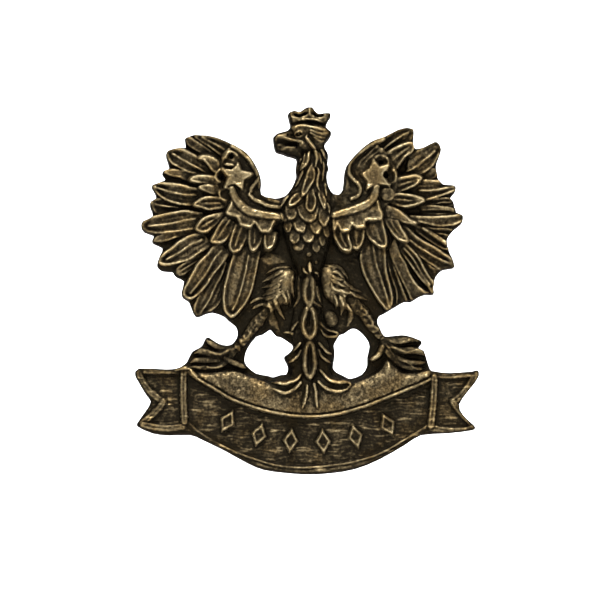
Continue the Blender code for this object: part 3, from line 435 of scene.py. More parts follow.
RIGHT_WING = {
    UNDER: [
        ([(13.6, 15.8), (15.0, 15.9), (15.7, 15.7), (15.85, 15.2), (15.4, 14.75), (14.2, 14.5)], None),
        ([(13.6, 12.2), (15.5, 12.2), (17.0, 12.3), (17.8, 12.05), (18.0, 11.6), (17.3, 11.35),
          (15.8, 11.2), (14.0, 11.3)], [(14.1, 11.6), (15.5, 11.6), (16.5, 11.8), (17.5, 11.8)]),
        ([(13.8, 11.3), (15.6, 11.3), (17.4, 11.1), (18.2, 10.75), (17.6, 10.45), (16.0, 10.35),
          (14.0, 10.5)], [(14.1, 10.9), (16.5, 10.9), (17.8, 10.75)]),
        ([(13.8, 8.9), (15.4, 8.6), (17.0, 8.6), (17.8, 8.3), (17.3, 7.7), (16.4, 7.5), (15.0, 7.8)],
         [(15.0, 8.1), (16.6, 7.95), (17.2, 7.8)]),
        ([(13.2, 9.0), (14.6, 8.5), (15.9, 7.7), (16.9, 6.95), (17.2, 6.4), (16.9, 6.1), (15.9, 6.5),
          (14.6, 7.4), (13.2, 8.4)], [(14.1, 8.6), (15.0, 8.0), (16.0, 7.3), (16.8, 6.7)]),
        ([(12.6, 6.2), (14.0, 5.0), (15.2, 3.9), (16.2, 3.5), (15.9, 3.0), (15.2, 2.7), (14.2, 3.7)],
         None),
        ([(9.3, 6.0), (9.4, 4.0), (9.9, 2.2), (10.3, 0.8), (10.4, -0.4), (10.9, -0.75), (11.6, -0.35),
          (12.1, -0.2), (11.6, 1.2), (11.0, 2.9), (10.4, 4.6), (10.1, 6.0)],
         [(9.8, 5.6), (10.0, 4.0), (10.4, 2.5), (10.9, 1.0), (10.95, -0.4)]),
    ],
    QUILL: [
        ([(6.0, 17.0), (7.6, 18.3), (8.6, 19.0), (9.6, 19.6), (10.2, 20.1), (11.0, 20.55), (12.0, 20.8),
          (12.9, 20.7), (12.95, 20.2), (12.6, 19.3), (11.6, 18.6), (10.3, 17.9), (9.2, 17.0)],
         [(12.8, 20.5), (11.5, 19.8), (10.2, 18.9), (9.3, 18.1), (8.6, 17.4)]),
        ([(12.6, 17.5), (13.4, 17.95), (14.5, 18.6), (15.3, 19.1), (15.9, 19.15), (16.3, 18.7),
          (16.3, 18.0), (15.8, 17.2), (15.4, 16.5), (14.9, 15.9), (14.2, 15.4), (13.4, 15.1), (12.2, 14.8)],
         [(15.6, 18.0), (14.8, 17.3), (14.1, 16.8), (13.3, 16.1), (12.6, 15.7), (11.6, 15.4)]),
        ([(12.8, 14.5), (14.0, 14.4), (15.5, 14.35), (17.0, 14.1), (18.1, 13.85), (18.1, 13.4),
          (17.4, 13.05), (16.5, 12.7), (15.3, 12.3), (14.0, 12.0), (12.8, 12.0)],
         [(13.7, 13.2), (15.0, 13.2), (16.5, 13.4), (17.8, 13.65)]),
        ([(12.6, 10.05), (13.5, 10.0), (15.0, 9.95), (16.5, 10.0), (18.0, 10.15), (18.9, 10.3),
          (19.05, 9.95), (18.75, 9.5), (17.8, 9.1), (16.5, 8.95), (15.5, 9.05), (14.4, 9.3),
          (13.3, 9.45), (12.4, 9.5)], None),
        ([(11.8, 9.0), (12.6, 8.3), (13.4, 7.5), (14.5, 6.8), (15.8, 6.1), (16.6, 5.5), (17.4, 4.95),
          (17.9, 4.3), (17.4, 3.95), (16.3, 3.65), (15.5, 4.1), (14.4, 4.8), (13.3, 5.6), (12.2, 6.5),
          (11.4, 7.4)], [(12.4, 7.3), (13.6, 6.4), (15.0, 5.5), (16.3, 4.8), (17.4, 4.4)]),
        ([(11.6, 7.2), (12.0, 6.7), (12.9, 5.8), (13.6, 4.9), (14.2, 3.7), (14.8, 2.7), (15.35, 1.9),
          (15.35, 1.2), (15.1, 0.85), (14.8, 1.5), (14.0, 2.4), (13.4, 3.2), (12.6, 4.3), (11.9, 5.2),
          (11.2, 6.2)], [(11.8, 6.2), (12.9, 4.9), (13.8, 3.4), (14.9, 1.8)]),
        ([(10.7, 7.2), (11.2, 5.6), (11.9, 4.4), (12.4, 3.2), (13.2, 1.9), (14.2, 0.95), (14.7, 0.75),
          (14.3, 0.45), (13.6, 0.25), (12.8, 0.0), (12.3, 1.0), (11.7, 2.2), (11.0, 3.7), (10.4, 5.0),
          (10.1, 6.0)], None),
        ([(7.4, 7.2), (6.8, 6.3), (6.6, 5.1), (6.9, 3.5), (7.3, 2.5), (7.9, 1.4), (8.6, 0.2), (9.3, -0.7),
          (9.85, -1.2), (10.2, -0.7), (10.3, 0.4), (10.0, 1.8), (9.6, 3.4), (9.5, 5.0), (9.4, 7.2)],
         [(8.0, 7.0), (8.4, 4.5), (8.9, 2.9), (9.4, 1.3), (9.8, 0.0), (9.9, -0.8)]),
    ],
    COVERT: [
        ([(9.3, 17.2), (10.1, 17.9), (11.2, 18.5), (12.4, 18.9), (13.0, 18.65), (12.7, 17.9),
          (11.9, 17.3), (11.3, 16.5), (10.7, 15.6)], [(10.2, 16.7), (11.2, 17.5), (12.4, 18.4)]),
        ([(10.4, 14.3), (11.2, 14.6), (12.2, 14.8), (13.2, 14.95), (13.85, 14.75), (13.6, 14.3),
          (13.0, 13.8), (12.0, 13.3), (11.1, 12.9), (10.4, 12.6)], [(13.4, 14.5), (12.2, 14.1),
          (11.0, 13.7)]),
        ([(10.0, 12.5), (11.0, 12.7), (12.0, 12.65), (13.2, 12.4), (14.2, 12.0), (13.2, 11.5),
          (12.2, 11.25), (11.3, 11.3), (10.3, 11.7)], [(10.6, 12.1), (12.2, 12.0), (13.6, 12.0)]),
        ([(9.6, 11.3), (11.0, 10.75), (11.8, 10.15), (12.5, 9.55), (13.2, 9.2), (12.0, 9.3),
          (11.0, 9.7), (9.7, 10.0)], None),
        ([(9.3, 9.7), (10.0, 8.6), (10.6, 7.8), (11.3, 7.2), (12.1, 7.05), (11.9, 7.8), (11.4, 8.5),
          (11.0, 9.4)], [(11.6, 7.5), (10.9, 8.3), (10.2, 9.3)]),
        ([(6.9, 9.6), (7.1, 8.5), (7.6, 7.5), (8.3, 6.8), (9.0, 6.35), (9.5, 6.5), (9.55, 7.4),
          (9.3, 8.6), (9.1, 9.7)], [(9.1, 6.9), (8.6, 7.8), (8.2, 9.0)]),
        ([(5.1, 8.3), (5.2, 7.4), (5.5, 6.5), (6.0, 6.1), (6.5, 6.6), (6.8, 7.4), (6.9, 8.3)],
         [(6.0, 6.6), (6.0, 8.0)]),
        ([(3.2, 8.3), (3.4, 7.6), (3.8, 6.8), (4.3, 6.1), (5.0, 5.85), (5.35, 6.3), (5.1, 7.2),
          (5.0, 8.2)], [(4.8, 6.4), (4.3, 7.2), (4.1, 8.0)]),
    ],
}
LEFT_SHOULDER = [
    (-5.5, 13.6), (-5.7, 14.7), (-6.2, 15.9), (-7.1, 17.1), (-8.3, 18.0), (-9.2, 18.3), (-10.1, 17.4),
    (-10.4, 16.0), (-11.0, 14.9), (-10.9, 13.2), (-10.2, 12.0), (-9.3, 11.0), (-7.0, 9.8), (-4.0, 9.4),
    (-2.6, 10.2), (-3.0, 11.6), (-4.4, 12.2),
]
RIGHT_SHOULDER = [
    (4.7, 13.6), (4.8, 15.4), (5.3, 16.8), (6.4, 17.8), (7.8, 18.9), (9.2, 18.2), (9.9, 17.4),
    (10.6, 16.2), (11.0, 15.0), (10.9, 13.2), (10.2, 12.0), (9.2, 11.0), (7.0, 10.0), (4.5, 9.4),
    (2.9, 9.8), (2.8, 11.6), (3.6, 12.8),
]
LEFT_SCAPULARS = [
    (-9.1, 11.6), (-9.6, 10.8), (-9.7, 10.4), (-9.3, 10.1), (-8.6, 9.9), (-8.2, 9.5), (-8.0, 9.0),
    (-7.5, 8.75), (-6.9, 8.6), (-6.6, 8.7), (-6.2, 9.1), (-5.6, 8.2), (-5.0, 8.0), (-4.5, 8.1),
    (-4.2, 8.5), (-4.0, 9.1), (-3.6, 9.7),
]
RIGHT_SCAPULARS = [
    (8.6, 12.0), (8.9, 11.0), (9.2, 10.4), (9.1, 9.7), (8.5, 9.55), (7.5, 9.5), (7.1, 9.3), (7.1, 8.8),
    (6.6, 8.6), (6.0, 8.6), (5.5, 8.9), (5.2, 8.3), (4.6, 8.1), (4.1, 8.3), (3.8, 8.9), (3.6, 8.6),
    (3.3, 8.3), (3.1, 8.8), (3.1, 9.8),
]
LEFT_BAND = [(-9.0, 13.3), (-8.6, 12.2), (-7.9, 11.3), (-7.0, 10.6), (-5.5, 10.2), (-4.0, 10.0), (-3.0, 9.9)]
RIGHT_BAND = [(8.4, 13.6), (8.3, 12.9), (8.0, 12.2), (7.3, 11.5), (6.2, 11.0), (5.0, 10.6), (3.2, 10.1)]
LEFT_BAND_WIDTHS = [0.3, 0.38, 0.45, 0.45, 0.38, 0.36, 0.3]
RIGHT_BAND_WIDTHS = [0.38, 0.42, 0.45, 0.42, 0.36, 0.3]
LEFT_STAR = [
    (-8.3, 16.3), (-7.9, 15.4), (-6.5, 15.1), (-7.6, 14.4), (-7.8, 13.3), (-8.7, 13.9), (-9.8, 13.6),
    (-9.4, 14.7), (-10.1, 15.6), (-9.0, 15.5),
]
RIGHT_STAR = [
    (8.1, 16.8), (7.6, 15.7), (6.7, 15.1), (7.4, 14.3), (7.3, 13.3), (8.5, 14.0), (9.9, 13.8),
    (9.2, 14.9), (9.9, 16.2), (8.8, 15.9),
]
LEFT_STAR_TINT, RIGHT_STAR_TINT = 0.32, 0.15
FRONT_EDGES = [
    # rolled front edges of the wings: (points, half widths, level, crown and groove)
    ([(-9.0, 18.5), (-7.7, 17.7), (-6.7, 16.6), (-6.0, 15.4), (-5.7, 14.6), (-5.65, 13.6)],
     [0.2, 0.3, 0.32, 0.25], 2.2, 0.3),
    ([(-5.75, 14.6), (-6.2, 14.0), (-6.7, 13.3), (-6.75, 12.9)], 0.22, 2.1, 0.25),
    ([(-6.9, 12.6), (-6.3, 12.0), (-5.4, 11.6), (-4.5, 11.2), (-3.1, 11.05)], 0.25, 2.2, 0.25),
    ([(5.4, 12.1), (6.1, 12.4), (6.5, 13.0), (6.4, 13.8), (5.9, 14.3), (5.4, 14.8), (5.1, 15.5),
      (5.25, 16.4), (5.8, 17.2), (6.5, 17.8), (7.3, 18.4), (8.3, 19.0), (9.3, 19.5)], 0.24, 2.2, 0.25),
]
SHOULDER_LINES = [
    [(6.0, 15.7), (6.6, 16.7), (7.5, 17.6), (8.6, 18.6), (9.7, 19.4)],
    [(6.7, 16.1), (7.5, 17.0), (8.5, 17.8), (9.5, 18.5), (10.4, 19.1), (11.6, 19.8)],
    [(8.8, 17.7), (9.4, 18.2), (10.0, 18.7), (11.0, 19.3)],
]
STAR_RINGS = [
    [(-9.8, 16.9), (-9.6, 17.5), (-9.1, 17.8), (-8.6, 17.6), (-8.3, 17.2)],
    [(-9.9, 15.8), (-10.6, 15.5), (-11.0, 14.95), (-10.8, 14.4), (-10.3, 14.1)],
    [(-9.3, 13.3), (-9.9, 13.3), (-10.45, 12.9), (-10.45, 12.3), (-9.9, 11.9), (-9.4, 12.0)],
    [(8.3, 17.0), (8.7, 17.4), (9.3, 17.3), (9.8, 16.9), (9.9, 16.4)],
    [(10.2, 15.7), (10.7, 15.4), (10.8, 14.9), (10.6, 14.3), (10.0, 13.9)],
]
STAR_PITS = [
    # (x, z, radius, rise, stretch)
    (-9.1, 17.3, 0.3, -0.9, 1.2), (-10.2, 14.7, 0.28, -0.9, 1.2), (9.0, 16.55, 0.34, -0.9, 0.8),
    (9.55, 15.05, 0.34, -0.9, 1.3),
]
STAR_BOSS = [(9.0, 13.2), (9.7, 13.6), (10.4, 13.1), (10.5, 12.4), (9.9, 11.9), (9.1, 12.2)]


def wing(r, feathers):
    """A wing's feathers. Each stands a hair above the one before, so that it overlaps it."""
    for level, layer in feathers.items():
        style = (COVERT_RIM, COVERT_RIB, COVERT_TINT) if level == COVERT else (RIM, RIB, FEATHER_TINT)
        for number, (rim, rib) in enumerate(layer):
            r.feather(rim, rib, level + OVERLAP * (number % 3), *style)


def shoulder(r, outline, scapulars, band, widths, star, star_tint):
    """The hollow of a shoulder with the scaly row under its band, the band and the star."""
    def hollow(x, z, d):
        return SHOULDER - 0.25 * smooth(0.1, 0.7, -d) + 0.3 * smooth(0.9, 1.8, -d)

    def scales(x, z, d):
        row = np.sin(3.4 * x + 1.2 * z) * np.sin(2.9 * z - 0.8 * x)
        return SCAPULAR + 0.08 * row + 0.25 * hump(d + 0.15, 0.2)

    def flat(x, z, d):
        return 2.85 - 0.06 * smooth(0, 0.5, -d)

    w, d = r.shape(loop(outline), hollow, groove=0.3)
    r.shade(w, d, -0.02)
    w, d = r.shape(np.vstack([curve(scapulars), curve(band)[::-1]]), scales, groove=0.35)
    r.shade(w, d, 0.12)
    r.bar(band, widths, 2.75, crown=0.2, groove=0.45, tint=-0.05)
    w, d = r.shape(np.array(star), flat, groove=0.35)
    r.shade(w, d, star_tint)


def star_ornaments(r):
    """Rings with pits round the stars, with bosses and a short bar."""
    for points in STAR_RINGS:
        r.ridge(points, 0.42, 0.2, (0.05, 0.05))
    r.bar([(-9.9, 16.25), (-8.7, 16.1)], 0.16, 2.5, ends=(0.2, 0.2))
    r.ball(-9.7, 12.6, 0.5, 0.2)
    r.dome(STAR_BOSS, 2.2, 0.3, 0.7, tint=-0.1)
    r.ridge([(9.9, 13.7), (10.5, 13.1), (10.6, 12.4), (10.0, 11.8)])
    for pit in STAR_PITS:
        r.ball(*pit)


def wings(r):
    """Both wings, from their feathers to the ornaments on their shoulders."""
    wing(r, LEFT_WING)
    wing(r, RIGHT_WING)
    shoulder(r, LEFT_SHOULDER, LEFT_SCAPULARS, LEFT_BAND, LEFT_BAND_WIDTHS, LEFT_STAR, LEFT_STAR_TINT)
    shoulder(r, RIGHT_SHOULDER, RIGHT_SCAPULARS, RIGHT_BAND, RIGHT_BAND_WIDTHS, RIGHT_STAR, RIGHT_STAR_TINT)
    for points, half, level, rounding in FRONT_EDGES:
        r.bar(points, half, level, crown=rounding, groove=rounding)
    for points in SHOULDER_LINES:
        r.ridge(points)
    star_ornaments(r)


# ---------------------------------------------------------------- scroll
SCROLL = [
    (-20.2, -8.6), (-17.0, -8.6), (-14.4, -8.5), (-13.9, -9.0), (-12.6, -9.9), (-11.0, -10.8), (-9.0, -12.0),
    (-6.0, -13.1), (-3.0, -13.8), (0.0, -14.1), (3.0, -13.9), (6.0, -13.2), (9.0, -12.1), (12.0, -10.9),
    (14.6, -9.7), (15.2, -9.0), (17.0, -9.1), (20.6, -8.8), (20.6, -9.4), (19.6, -11.0), (18.3, -12.7),
    (18.8, -13.8), (20.2, -15.2), (20.0, -15.6), (15.2, -15.9), (12.0, -17.3), (9.0, -19.0), (6.0, -20.2),
    (3.0, -20.8), (0.0, -20.9), (-3.0, -20.7), (-6.0, -20.0), (-9.0, -18.5), (-12.0, -17.0), (-14.7, -16.1),
    (-17.0, -16.2), (-19.4, -15.6), (-20.1, -15.0), (-19.0, -13.3), (-18.5, -12.3), (-19.3, -11.2),
    (-20.4, -9.3),
]
PEBBLED = [
    (-13.9, -9.0), (-13.0, -8.9), (-11.4, -8.9), (-8.6, -8.8), (-6.9, -9.4), (-5.7, -9.8), (-4.9, -10.1),
    (-4.0, -10.3), (-2.4, -9.7), (0.4, -9.5), (3.6, -9.5), (4.6, -10.0), (5.6, -10.2), (6.6, -9.9),
    (7.8, -9.4), (9.0, -8.6), (9.8, -7.5), (10.4, -8.0), (11.0, -8.5), (11.8, -9.0), (14.0, -8.8),
    (15.0, -8.7), (15.2, -9.4), (13.8, -10.1), (12.0, -10.85), (9.0, -12.1), (6.0, -13.2), (3.0, -13.9),
    (0.0, -14.1), (-3.0, -13.8), (-6.0, -13.1), (-9.0, -12.0), (-11.0, -10.8), (-12.6, -9.9),
]
LEDGE_ARC = [
    (-14.2, -8.8), (-12.6, -9.9), (-11.0, -10.8), (-9.0, -12.0), (-6.0, -13.1), (-3.0, -13.8), (0.0, -14.1),
    (3.0, -13.9), (6.0, -13.2), (9.0, -12.1), (12.0, -10.9), (13.8, -10.2), (15.2, -9.5),
]
BOTTOM_ARC = [
    (-14.6, -14.5), (-13.5, -15.6), (-12.0, -16.7), (-10.0, -17.8), (-8.0, -18.7), (-6.0, -19.4),
    (-4.0, -20.0), (-2.0, -20.3), (0.0, -20.35), (3.0, -20.1), (6.0, -19.6), (9.0, -18.6), (12.0, -16.9),
    (14.0, -15.7), (15.0, -15.0),
]
TAILS = [
    # left: top edge, outer edge as far as the notch, and the lower edge
    [(-14.9, -8.65), (-17.5, -8.65), (-20.3, -8.65)],
    [(-20.2, -8.8), (-19.7, -9.9), (-18.9, -11.0), (-17.7, -12.0), (-17.2, -12.3)],
    [(-17.2, -12.3), (-17.7, -13.1), (-18.7, -14.1), (-19.7, -14.9)],
    [(-19.6, -15.1), (-17.6, -15.5), (-16.0, -15.5), (-14.8, -15.3)],
    # right
    [(15.3, -9.1), (17.5, -9.2), (20.6, -8.85)],
    [(20.5, -9.0), (19.6, -10.4), (18.5, -11.7), (17.7, -12.3)],
    [(17.7, -12.3), (18.3, -13.2), (19.3, -14.3), (20.1, -15.2)],
    [(15.1, -15.5), (17.0, -15.8), (19.0, -15.8), (20.1, -15.5)],
]
FOLDS = [
    [(-14.75, -8.6), (-14.8, -11.6), (-14.65, -14.7)],
    [(15.45, -9.4), (15.3, -12.4), (15.0, -15.2)],
]
FOLD_CORNER = [(-15.7, -8.45), (-14.6, -8.3), (-14.0, -8.4), (-13.7, -8.85), (-13.2, -9.3)]
LOZENGES = [
    # (x, z, turn in degrees)
    (-9.5, -14.7, 62.0), (-5.7, -16.3, 74.0), (-1.9, -17.0, 84.0), (2.0, -17.1, 94.0), (5.9, -16.5, 104.0),
    (9.8, -15.1, 116.0),
]
LOZENGE_LENGTH, LOZENGE_WIDTH = 3.0, 1.9


def lozenge(r, x, z, turn):
    """A raised outline of a lozenge."""
    def tops(x, z, d):
        return FIELD + 0.25 + 0.4 * hump(d + 0.2, 0.17)

    c, s = math.cos(math.radians(turn)), math.sin(math.radians(turn))
    long, wide = LOZENGE_LENGTH / 2, LOZENGE_WIDTH / 2
    corners = [(long, 0.0), (0.0, wide), (-long, 0.0), (0.0, -wide)]
    r.shape(np.array([(x + a * c - b * s, z + a * s + b * c) for a, b in corners]), tops, groove=0.15)


def ribbon(r):
    """The scroll's ribbon, with a grain along it like wood."""
    def field(x, z, d):
        wave = z + 0.16 * np.sin(0.9 * x) + 0.1 * np.sin(2.3 * x + 1.1 * z)
        return FIELD + 0.035 * np.sin(2 * np.pi * wave / 0.42)

    w, d = r.shape(loop(SCROLL, 3), field, groove=0)
    r.wood[w] = np.where(d < 0, 1.0, r.wood[w])
    r.shade(w, d, -0.04)


def pebbled_ledge(r):
    """The pebbled ground over the ribbon, darker along its edges, with a painted shadow above its upper edge.
    """
    w = r.window(PEBBLED)
    z = r.z[w]
    d = outline_distance(r.x[w], z, loop(PEBBLED, 3))
    pebbles = 0.07 * grain(r.x.shape, 0.1, 5)[w]
    r.lay(w, d, LEDGE - 0.3 * smooth(-0.5, 0.0, d) + pebbles, 0.3, 2.4)
    r.pebble[w] = np.where(d < 0.1, 1.0, r.pebble[w])
    r.wood[w] = np.where(d < 0.0, 0.0, r.wood[w])
    r.shade(w, d, -0.2 * smooth(-0.7, -0.1, d))
    # A band above the upper edge, between the ledge and the openings and feet, is painted dark as a shadow
    upper_edge_shadow = (d > -0.1) & (d < 1.2) & (z > -10.6)
    r.tint[w] = np.where(upper_edge_shadow, LEDGE_SHADOW_TINT, r.tint[w])


def scroll(r):
    """The ribbon and the ledge over it, their borders and folds, and the lozenges."""
    ribbon(r)
    pebbled_ledge(r)
    # The bar along the ledge's lower edge gets a dark tint as a painted shadow under the ledge
    r.bar(LEDGE_ARC, 0.1, 2.42, crown=0.08, groove=0.5, tint=-0.45)
    r.bar([(x, z - 0.2) for x, z in BOTTOM_ARC], 0.42, 1.7, crown=0.1, groove=0.0, tint=-0.35)
    r.ridge([(x, z + 0.12) for x, z in BOTTOM_ARC], 0.3, 0.12, (0, 0))
    r.ridge([(x, z - 0.36) for x, z in BOTTOM_ARC[1:-1]], 0.2, 0.12)
    for edge in TAILS:
        r.bar(edge, 0.3, 1.9, crown=0.1, groove=0.35, tint=-0.1)
        r.ridge(edge, -0.15, 0.14, (0.05, 0.05))
    for fold in FOLDS:
        r.bar(fold, 0.33, 2.1, crown=0.1, groove=0.4, tint=-0.05)
        r.ridge(fold, -0.18, 0.13, (0.05, 0.05))
    r.bar(FOLD_CORNER, 0.2, 2.2)
    for x, z, turn in LOZENGES:
        lozenge(r, x, z, turn)


# ---------------------------------------------------------------- body
BODY = [
    (2.3, 18.8), (2.5, 17.8), (2.6, 16.5), (2.5, 15.0), (2.8, 13.7), (3.2, 12.7), (3.4, 11.4), (3.4, 10.0),
    (3.1, 8.4), (2.7, 6.6), (2.3, 5.0), (1.8, 3.6), (1.4, 2.6), (-0.8, 2.6), (-1.3, 3.8), (-1.9, 5.4),
    (-2.4, 7.0), (-2.8, 8.6), (-3.1, 10.0), (-3.2, 11.3), (-2.9, 12.2), (-2.2, 12.8), (-1.6, 13.9),
    (-1.15, 15.0), (-1.25, 15.6), (-1.1, 16.6), (-1.0, 17.6), (0.6, 18.8),
]
HEAD = [
    (-1.9, 20.9), (-0.6, 21.3), (1.0, 21.2), (2.3, 20.8), (2.9, 20.1), (2.6, 19.3), (2.3, 18.6), (1.6, 18.0),
    (0.4, 17.9), (-0.6, 18.1), (-1.2, 18.6), (-1.5, 19.8),
]
BEAK = [
    (-0.3, 20.5), (-1.4, 20.45), (-2.5, 20.35), (-3.4, 20.1), (-3.9, 19.6), (-3.95, 18.9), (-3.75, 18.3),
    (-3.2, 17.9), (-2.3, 17.6), (-1.2, 17.3), (-0.4, 17.3),
]
CROWN = [
    (-2.2, 22.8), (-1.5, 22.85), (-0.9, 22.7), (-0.3, 23.1), (0.3, 23.35), (0.7, 23.3), (1.2, 22.7),
    (2.0, 22.65), (2.9, 22.6), (2.6, 21.9), (2.2, 21.3), (0.4, 21.5), (-1.6, 21.3), (-1.95, 22.0),
]
# Feathers on the body, each as its rim from the root round the tip and back, from the belly upwards
BREAST = [
    [(-1.6, 6.6), (-1.4, 6.0), (-0.7, 5.9), (-0.3, 6.5)],
    [(0.7, 6.7), (0.8, 6.0), (1.2, 5.7), (1.5, 6.0), (1.65, 6.7)],
    [(1.5, 7.5), (1.7, 6.8), (2.0, 6.5), (2.25, 7.2)],
    [(-2.0, 7.9), (-1.9, 7.1), (-1.5, 6.8), (-1.0, 7.2), (-0.9, 7.8)],
    [(-0.55, 7.7), (-0.2, 7.05), (0.3, 6.85), (0.7, 7.15), (0.85, 7.8)],
    [(2.0, 8.8), (2.2, 7.9), (2.6, 7.6), (2.85, 8.4)],
    [(-2.8, 9.4), (-2.6, 8.5), (-2.2, 8.2), (-1.8, 8.9)],
    [(-1.6, 9.2), (-1.3, 8.45), (-0.9, 8.15), (-0.4, 8.15), (-0.15, 8.9)],
    [(0.35, 9.1), (0.8, 8.15), (1.3, 7.9), (1.6, 8.3), (1.9, 9.1)],
    [(-3.1, 10.6), (-3.0, 9.8), (-2.6, 9.5), (-2.3, 10.1)],
    [(-2.5, 11.1), (-2.55, 10.3), (-2.2, 9.7), (-1.75, 9.7), (-1.4, 10.0), (-1.1, 10.7)],
    [(1.4, 10.7), (1.55, 9.6), (1.85, 9.1), (2.15, 8.85), (2.5, 9.3), (2.7, 9.8), (2.65, 10.6)],
    [(-1.1, 11.0), (-0.85, 10.2), (-0.4, 9.65), (0.0, 9.4), (0.5, 9.35), (0.85, 9.6), (1.1, 10.0),
     (1.4, 11.0)],
]
# The same on the neck, where they are long and hollow
NECK_FEATHERS = [
    [(-0.6, 12.65), (-1.2, 12.65), (-1.7, 12.25), (-2.0, 11.75), (-2.1, 11.25), (-1.6, 11.35), (-1.1, 11.7),
     (-0.6, 12.25)],
    [(0.3, 13.25), (0.05, 12.45), (0.0, 11.85), (-0.05, 11.25), (0.1, 10.8), (0.45, 10.55), (0.8, 10.8),
     (1.0, 11.35), (1.05, 11.95), (0.9, 12.45), (0.8, 13.05)],
    [(1.4, 13.05), (1.5, 12.35), (1.8, 11.55), (2.15, 10.95), (2.3, 11.65), (2.1, 12.55)],
    [(0.65, 16.25), (0.3, 15.65), (0.05, 15.15), (-0.05, 14.65), (-0.25, 14.05), (-0.45, 13.35),
     (-0.55, 12.45), (-0.15, 12.75), (0.2, 13.35), (0.55, 13.85), (0.85, 14.35), (0.95, 14.95),
     (0.9, 15.55), (0.75, 16.15)],
]
# Locks of feathers on neck and chest, as (points, half width)
NECK_LOCKS = [
    ([(-0.4, 15.55), (-0.8, 14.65), (-1.0, 14.25), (-1.35, 13.55)], 0.15),
    ([(-1.0, 16.25), (-1.1, 15.65), (-1.1, 15.05)], 0.12),
    ([(1.3, 15.85), (1.5, 15.25), (1.4, 14.85), (1.25, 14.25), (1.3, 13.65), (1.55, 13.05)], 0.17),
    ([(2.0, 16.65), (2.1, 15.85), (2.0, 15.05), (1.9, 14.25)], 0.13),
    ([(2.25, 14.05), (2.3, 13.25), (2.4, 12.45)], 0.13),
    ([(2.5, 11.55), (2.75, 10.95), (2.75, 10.25)], 0.15),
    ([(-2.1, 12.55), (-2.65, 11.95), (-3.1, 11.15)], 0.15),
    ([(1.6, 18.55), (1.8, 18.05), (2.05, 17.55), (2.3, 16.95)], 0.17),
    ([(1.4, 17.85), (1.65, 17.05), (1.8, 16.35)], 0.13),
    ([(-0.7, 17.65), (-0.6, 17.15), (-0.85, 16.55)], 0.13),
    ([(-0.15, 17.75), (-0.3, 17.25), (-0.3, 16.85), (-0.5, 16.25), (-0.85, 15.75)], 0.14),
    ([(0.4, 18.15), (0.25, 17.55), (0.15, 16.95), (0.0, 16.45), (-0.3, 16.05), (-0.75, 15.55)], 0.22),
    ([(0.05, 19.75), (-0.1, 19.45), (0.1, 19.15), (0.5, 18.65), (0.9, 18.15), (1.1, 17.65), (1.25, 17.05),
      (1.15, 16.55), (1.05, 15.95)], 0.2),
]
BUD = [
    # where the tail starts: (points, half width)
    ([(0.35, 4.4), (0.35, 3.7), (0.4, 3.0)], 0.25),
    ([(-0.45, 3.7), (-0.2, 3.2), (0.25, 3.0)], 0.14),
    ([(0.9, 3.2), (1.4, 3.0), (1.5, 2.6), (1.2, 2.3)], 0.14),
]
HEAD_LINES = [
    # brow, tufts behind the eye, lids, edges of the beak and the jaw: (points, height, width)
    ([(-1.6, 20.6), (-1.1, 20.9), (-0.5, 20.95), (0.1, 20.85), (0.7, 20.7), (1.3, 20.6), (1.9, 20.45),
      (2.4, 20.3)], 0.4, 0.17),
    ([(0.25, 20.4), (0.8, 20.2), (1.4, 20.0), (2.0, 19.9), (2.6, 20.0)], 0.35, 0.13),
    ([(0.3, 20.05), (0.8, 19.8), (1.3, 19.6), (1.8, 19.45), (2.3, 19.45)], 0.35, 0.13),
    ([(0.8, 19.5), (1.3, 19.2), (1.9, 19.0), (2.4, 19.1)], 0.3, 0.13),
    ([(-1.5, 19.75), (-1.3, 20.05), (-0.9, 20.2), (-0.5, 20.05)], 0.5, 0.12),
    ([(-1.4, 19.65), (-0.9, 19.55), (-0.5, 19.75)], 0.35, 0.1),
    ([(-3.85, 19.0), (-3.7, 19.5), (-3.3, 19.65), (-2.8, 19.55), (-2.3, 19.35), (-1.7, 19.2), (-1.1, 19.05),
      (-0.5, 18.8), (-0.9, 18.5)], 0.4, 0.17),
    ([(-3.6, 19.75), (-2.9, 19.9), (-2.3, 19.8)], 0.2, 0.15),
    ([(-3.2, 17.9), (-2.7, 18.2), (-2.2, 18.35), (-1.7, 18.3), (-1.3, 18.35)], 0.3, 0.13),
    ([(-3.4, 17.65), (-2.7, 17.5), (-1.9, 17.3)], 0.2, 0.13),
]
HEAD_GROOVES = [
    # under the crown, the mouth, and along the lower beak: (points, height, width)
    ([(-1.5, 21.25), (0.3, 21.35), (2.0, 21.1)], -0.15, 0.1),
    ([(-3.6, 18.95), (-2.9, 19.0), (-1.9, 18.75), (-1.0, 18.65)], -0.8, 0.24),
    ([(-3.4, 18.3), (-2.7, 18.65), (-1.7, 18.6)], -0.4, 0.17),
]
HEAD_BALLS = [
    # eye socket, eye, nostril, and the hollow before the eye: (x, z, radius, rise, stretch)
    (-1.0, 19.85, 0.42, -0.35, 0.6), (-0.95, 19.87, 0.17, 0.5, 1.0), (-2.3, 19.85, 0.13, -0.4, 1.0),
    (-1.7, 19.75, 0.25, -0.3, 1.0),
]
CROWN_PITS = [
    [(-1.5, 22.4), (-1.4, 22.1), (-0.9, 22.0), (-0.2, 22.15), (0.15, 22.55), (-0.3, 22.5), (-0.9, 22.3)],
    [(0.75, 22.55), (0.85, 22.25), (1.2, 22.05), (1.8, 22.0), (2.05, 22.2), (1.6, 22.25), (1.1, 22.3)],
]
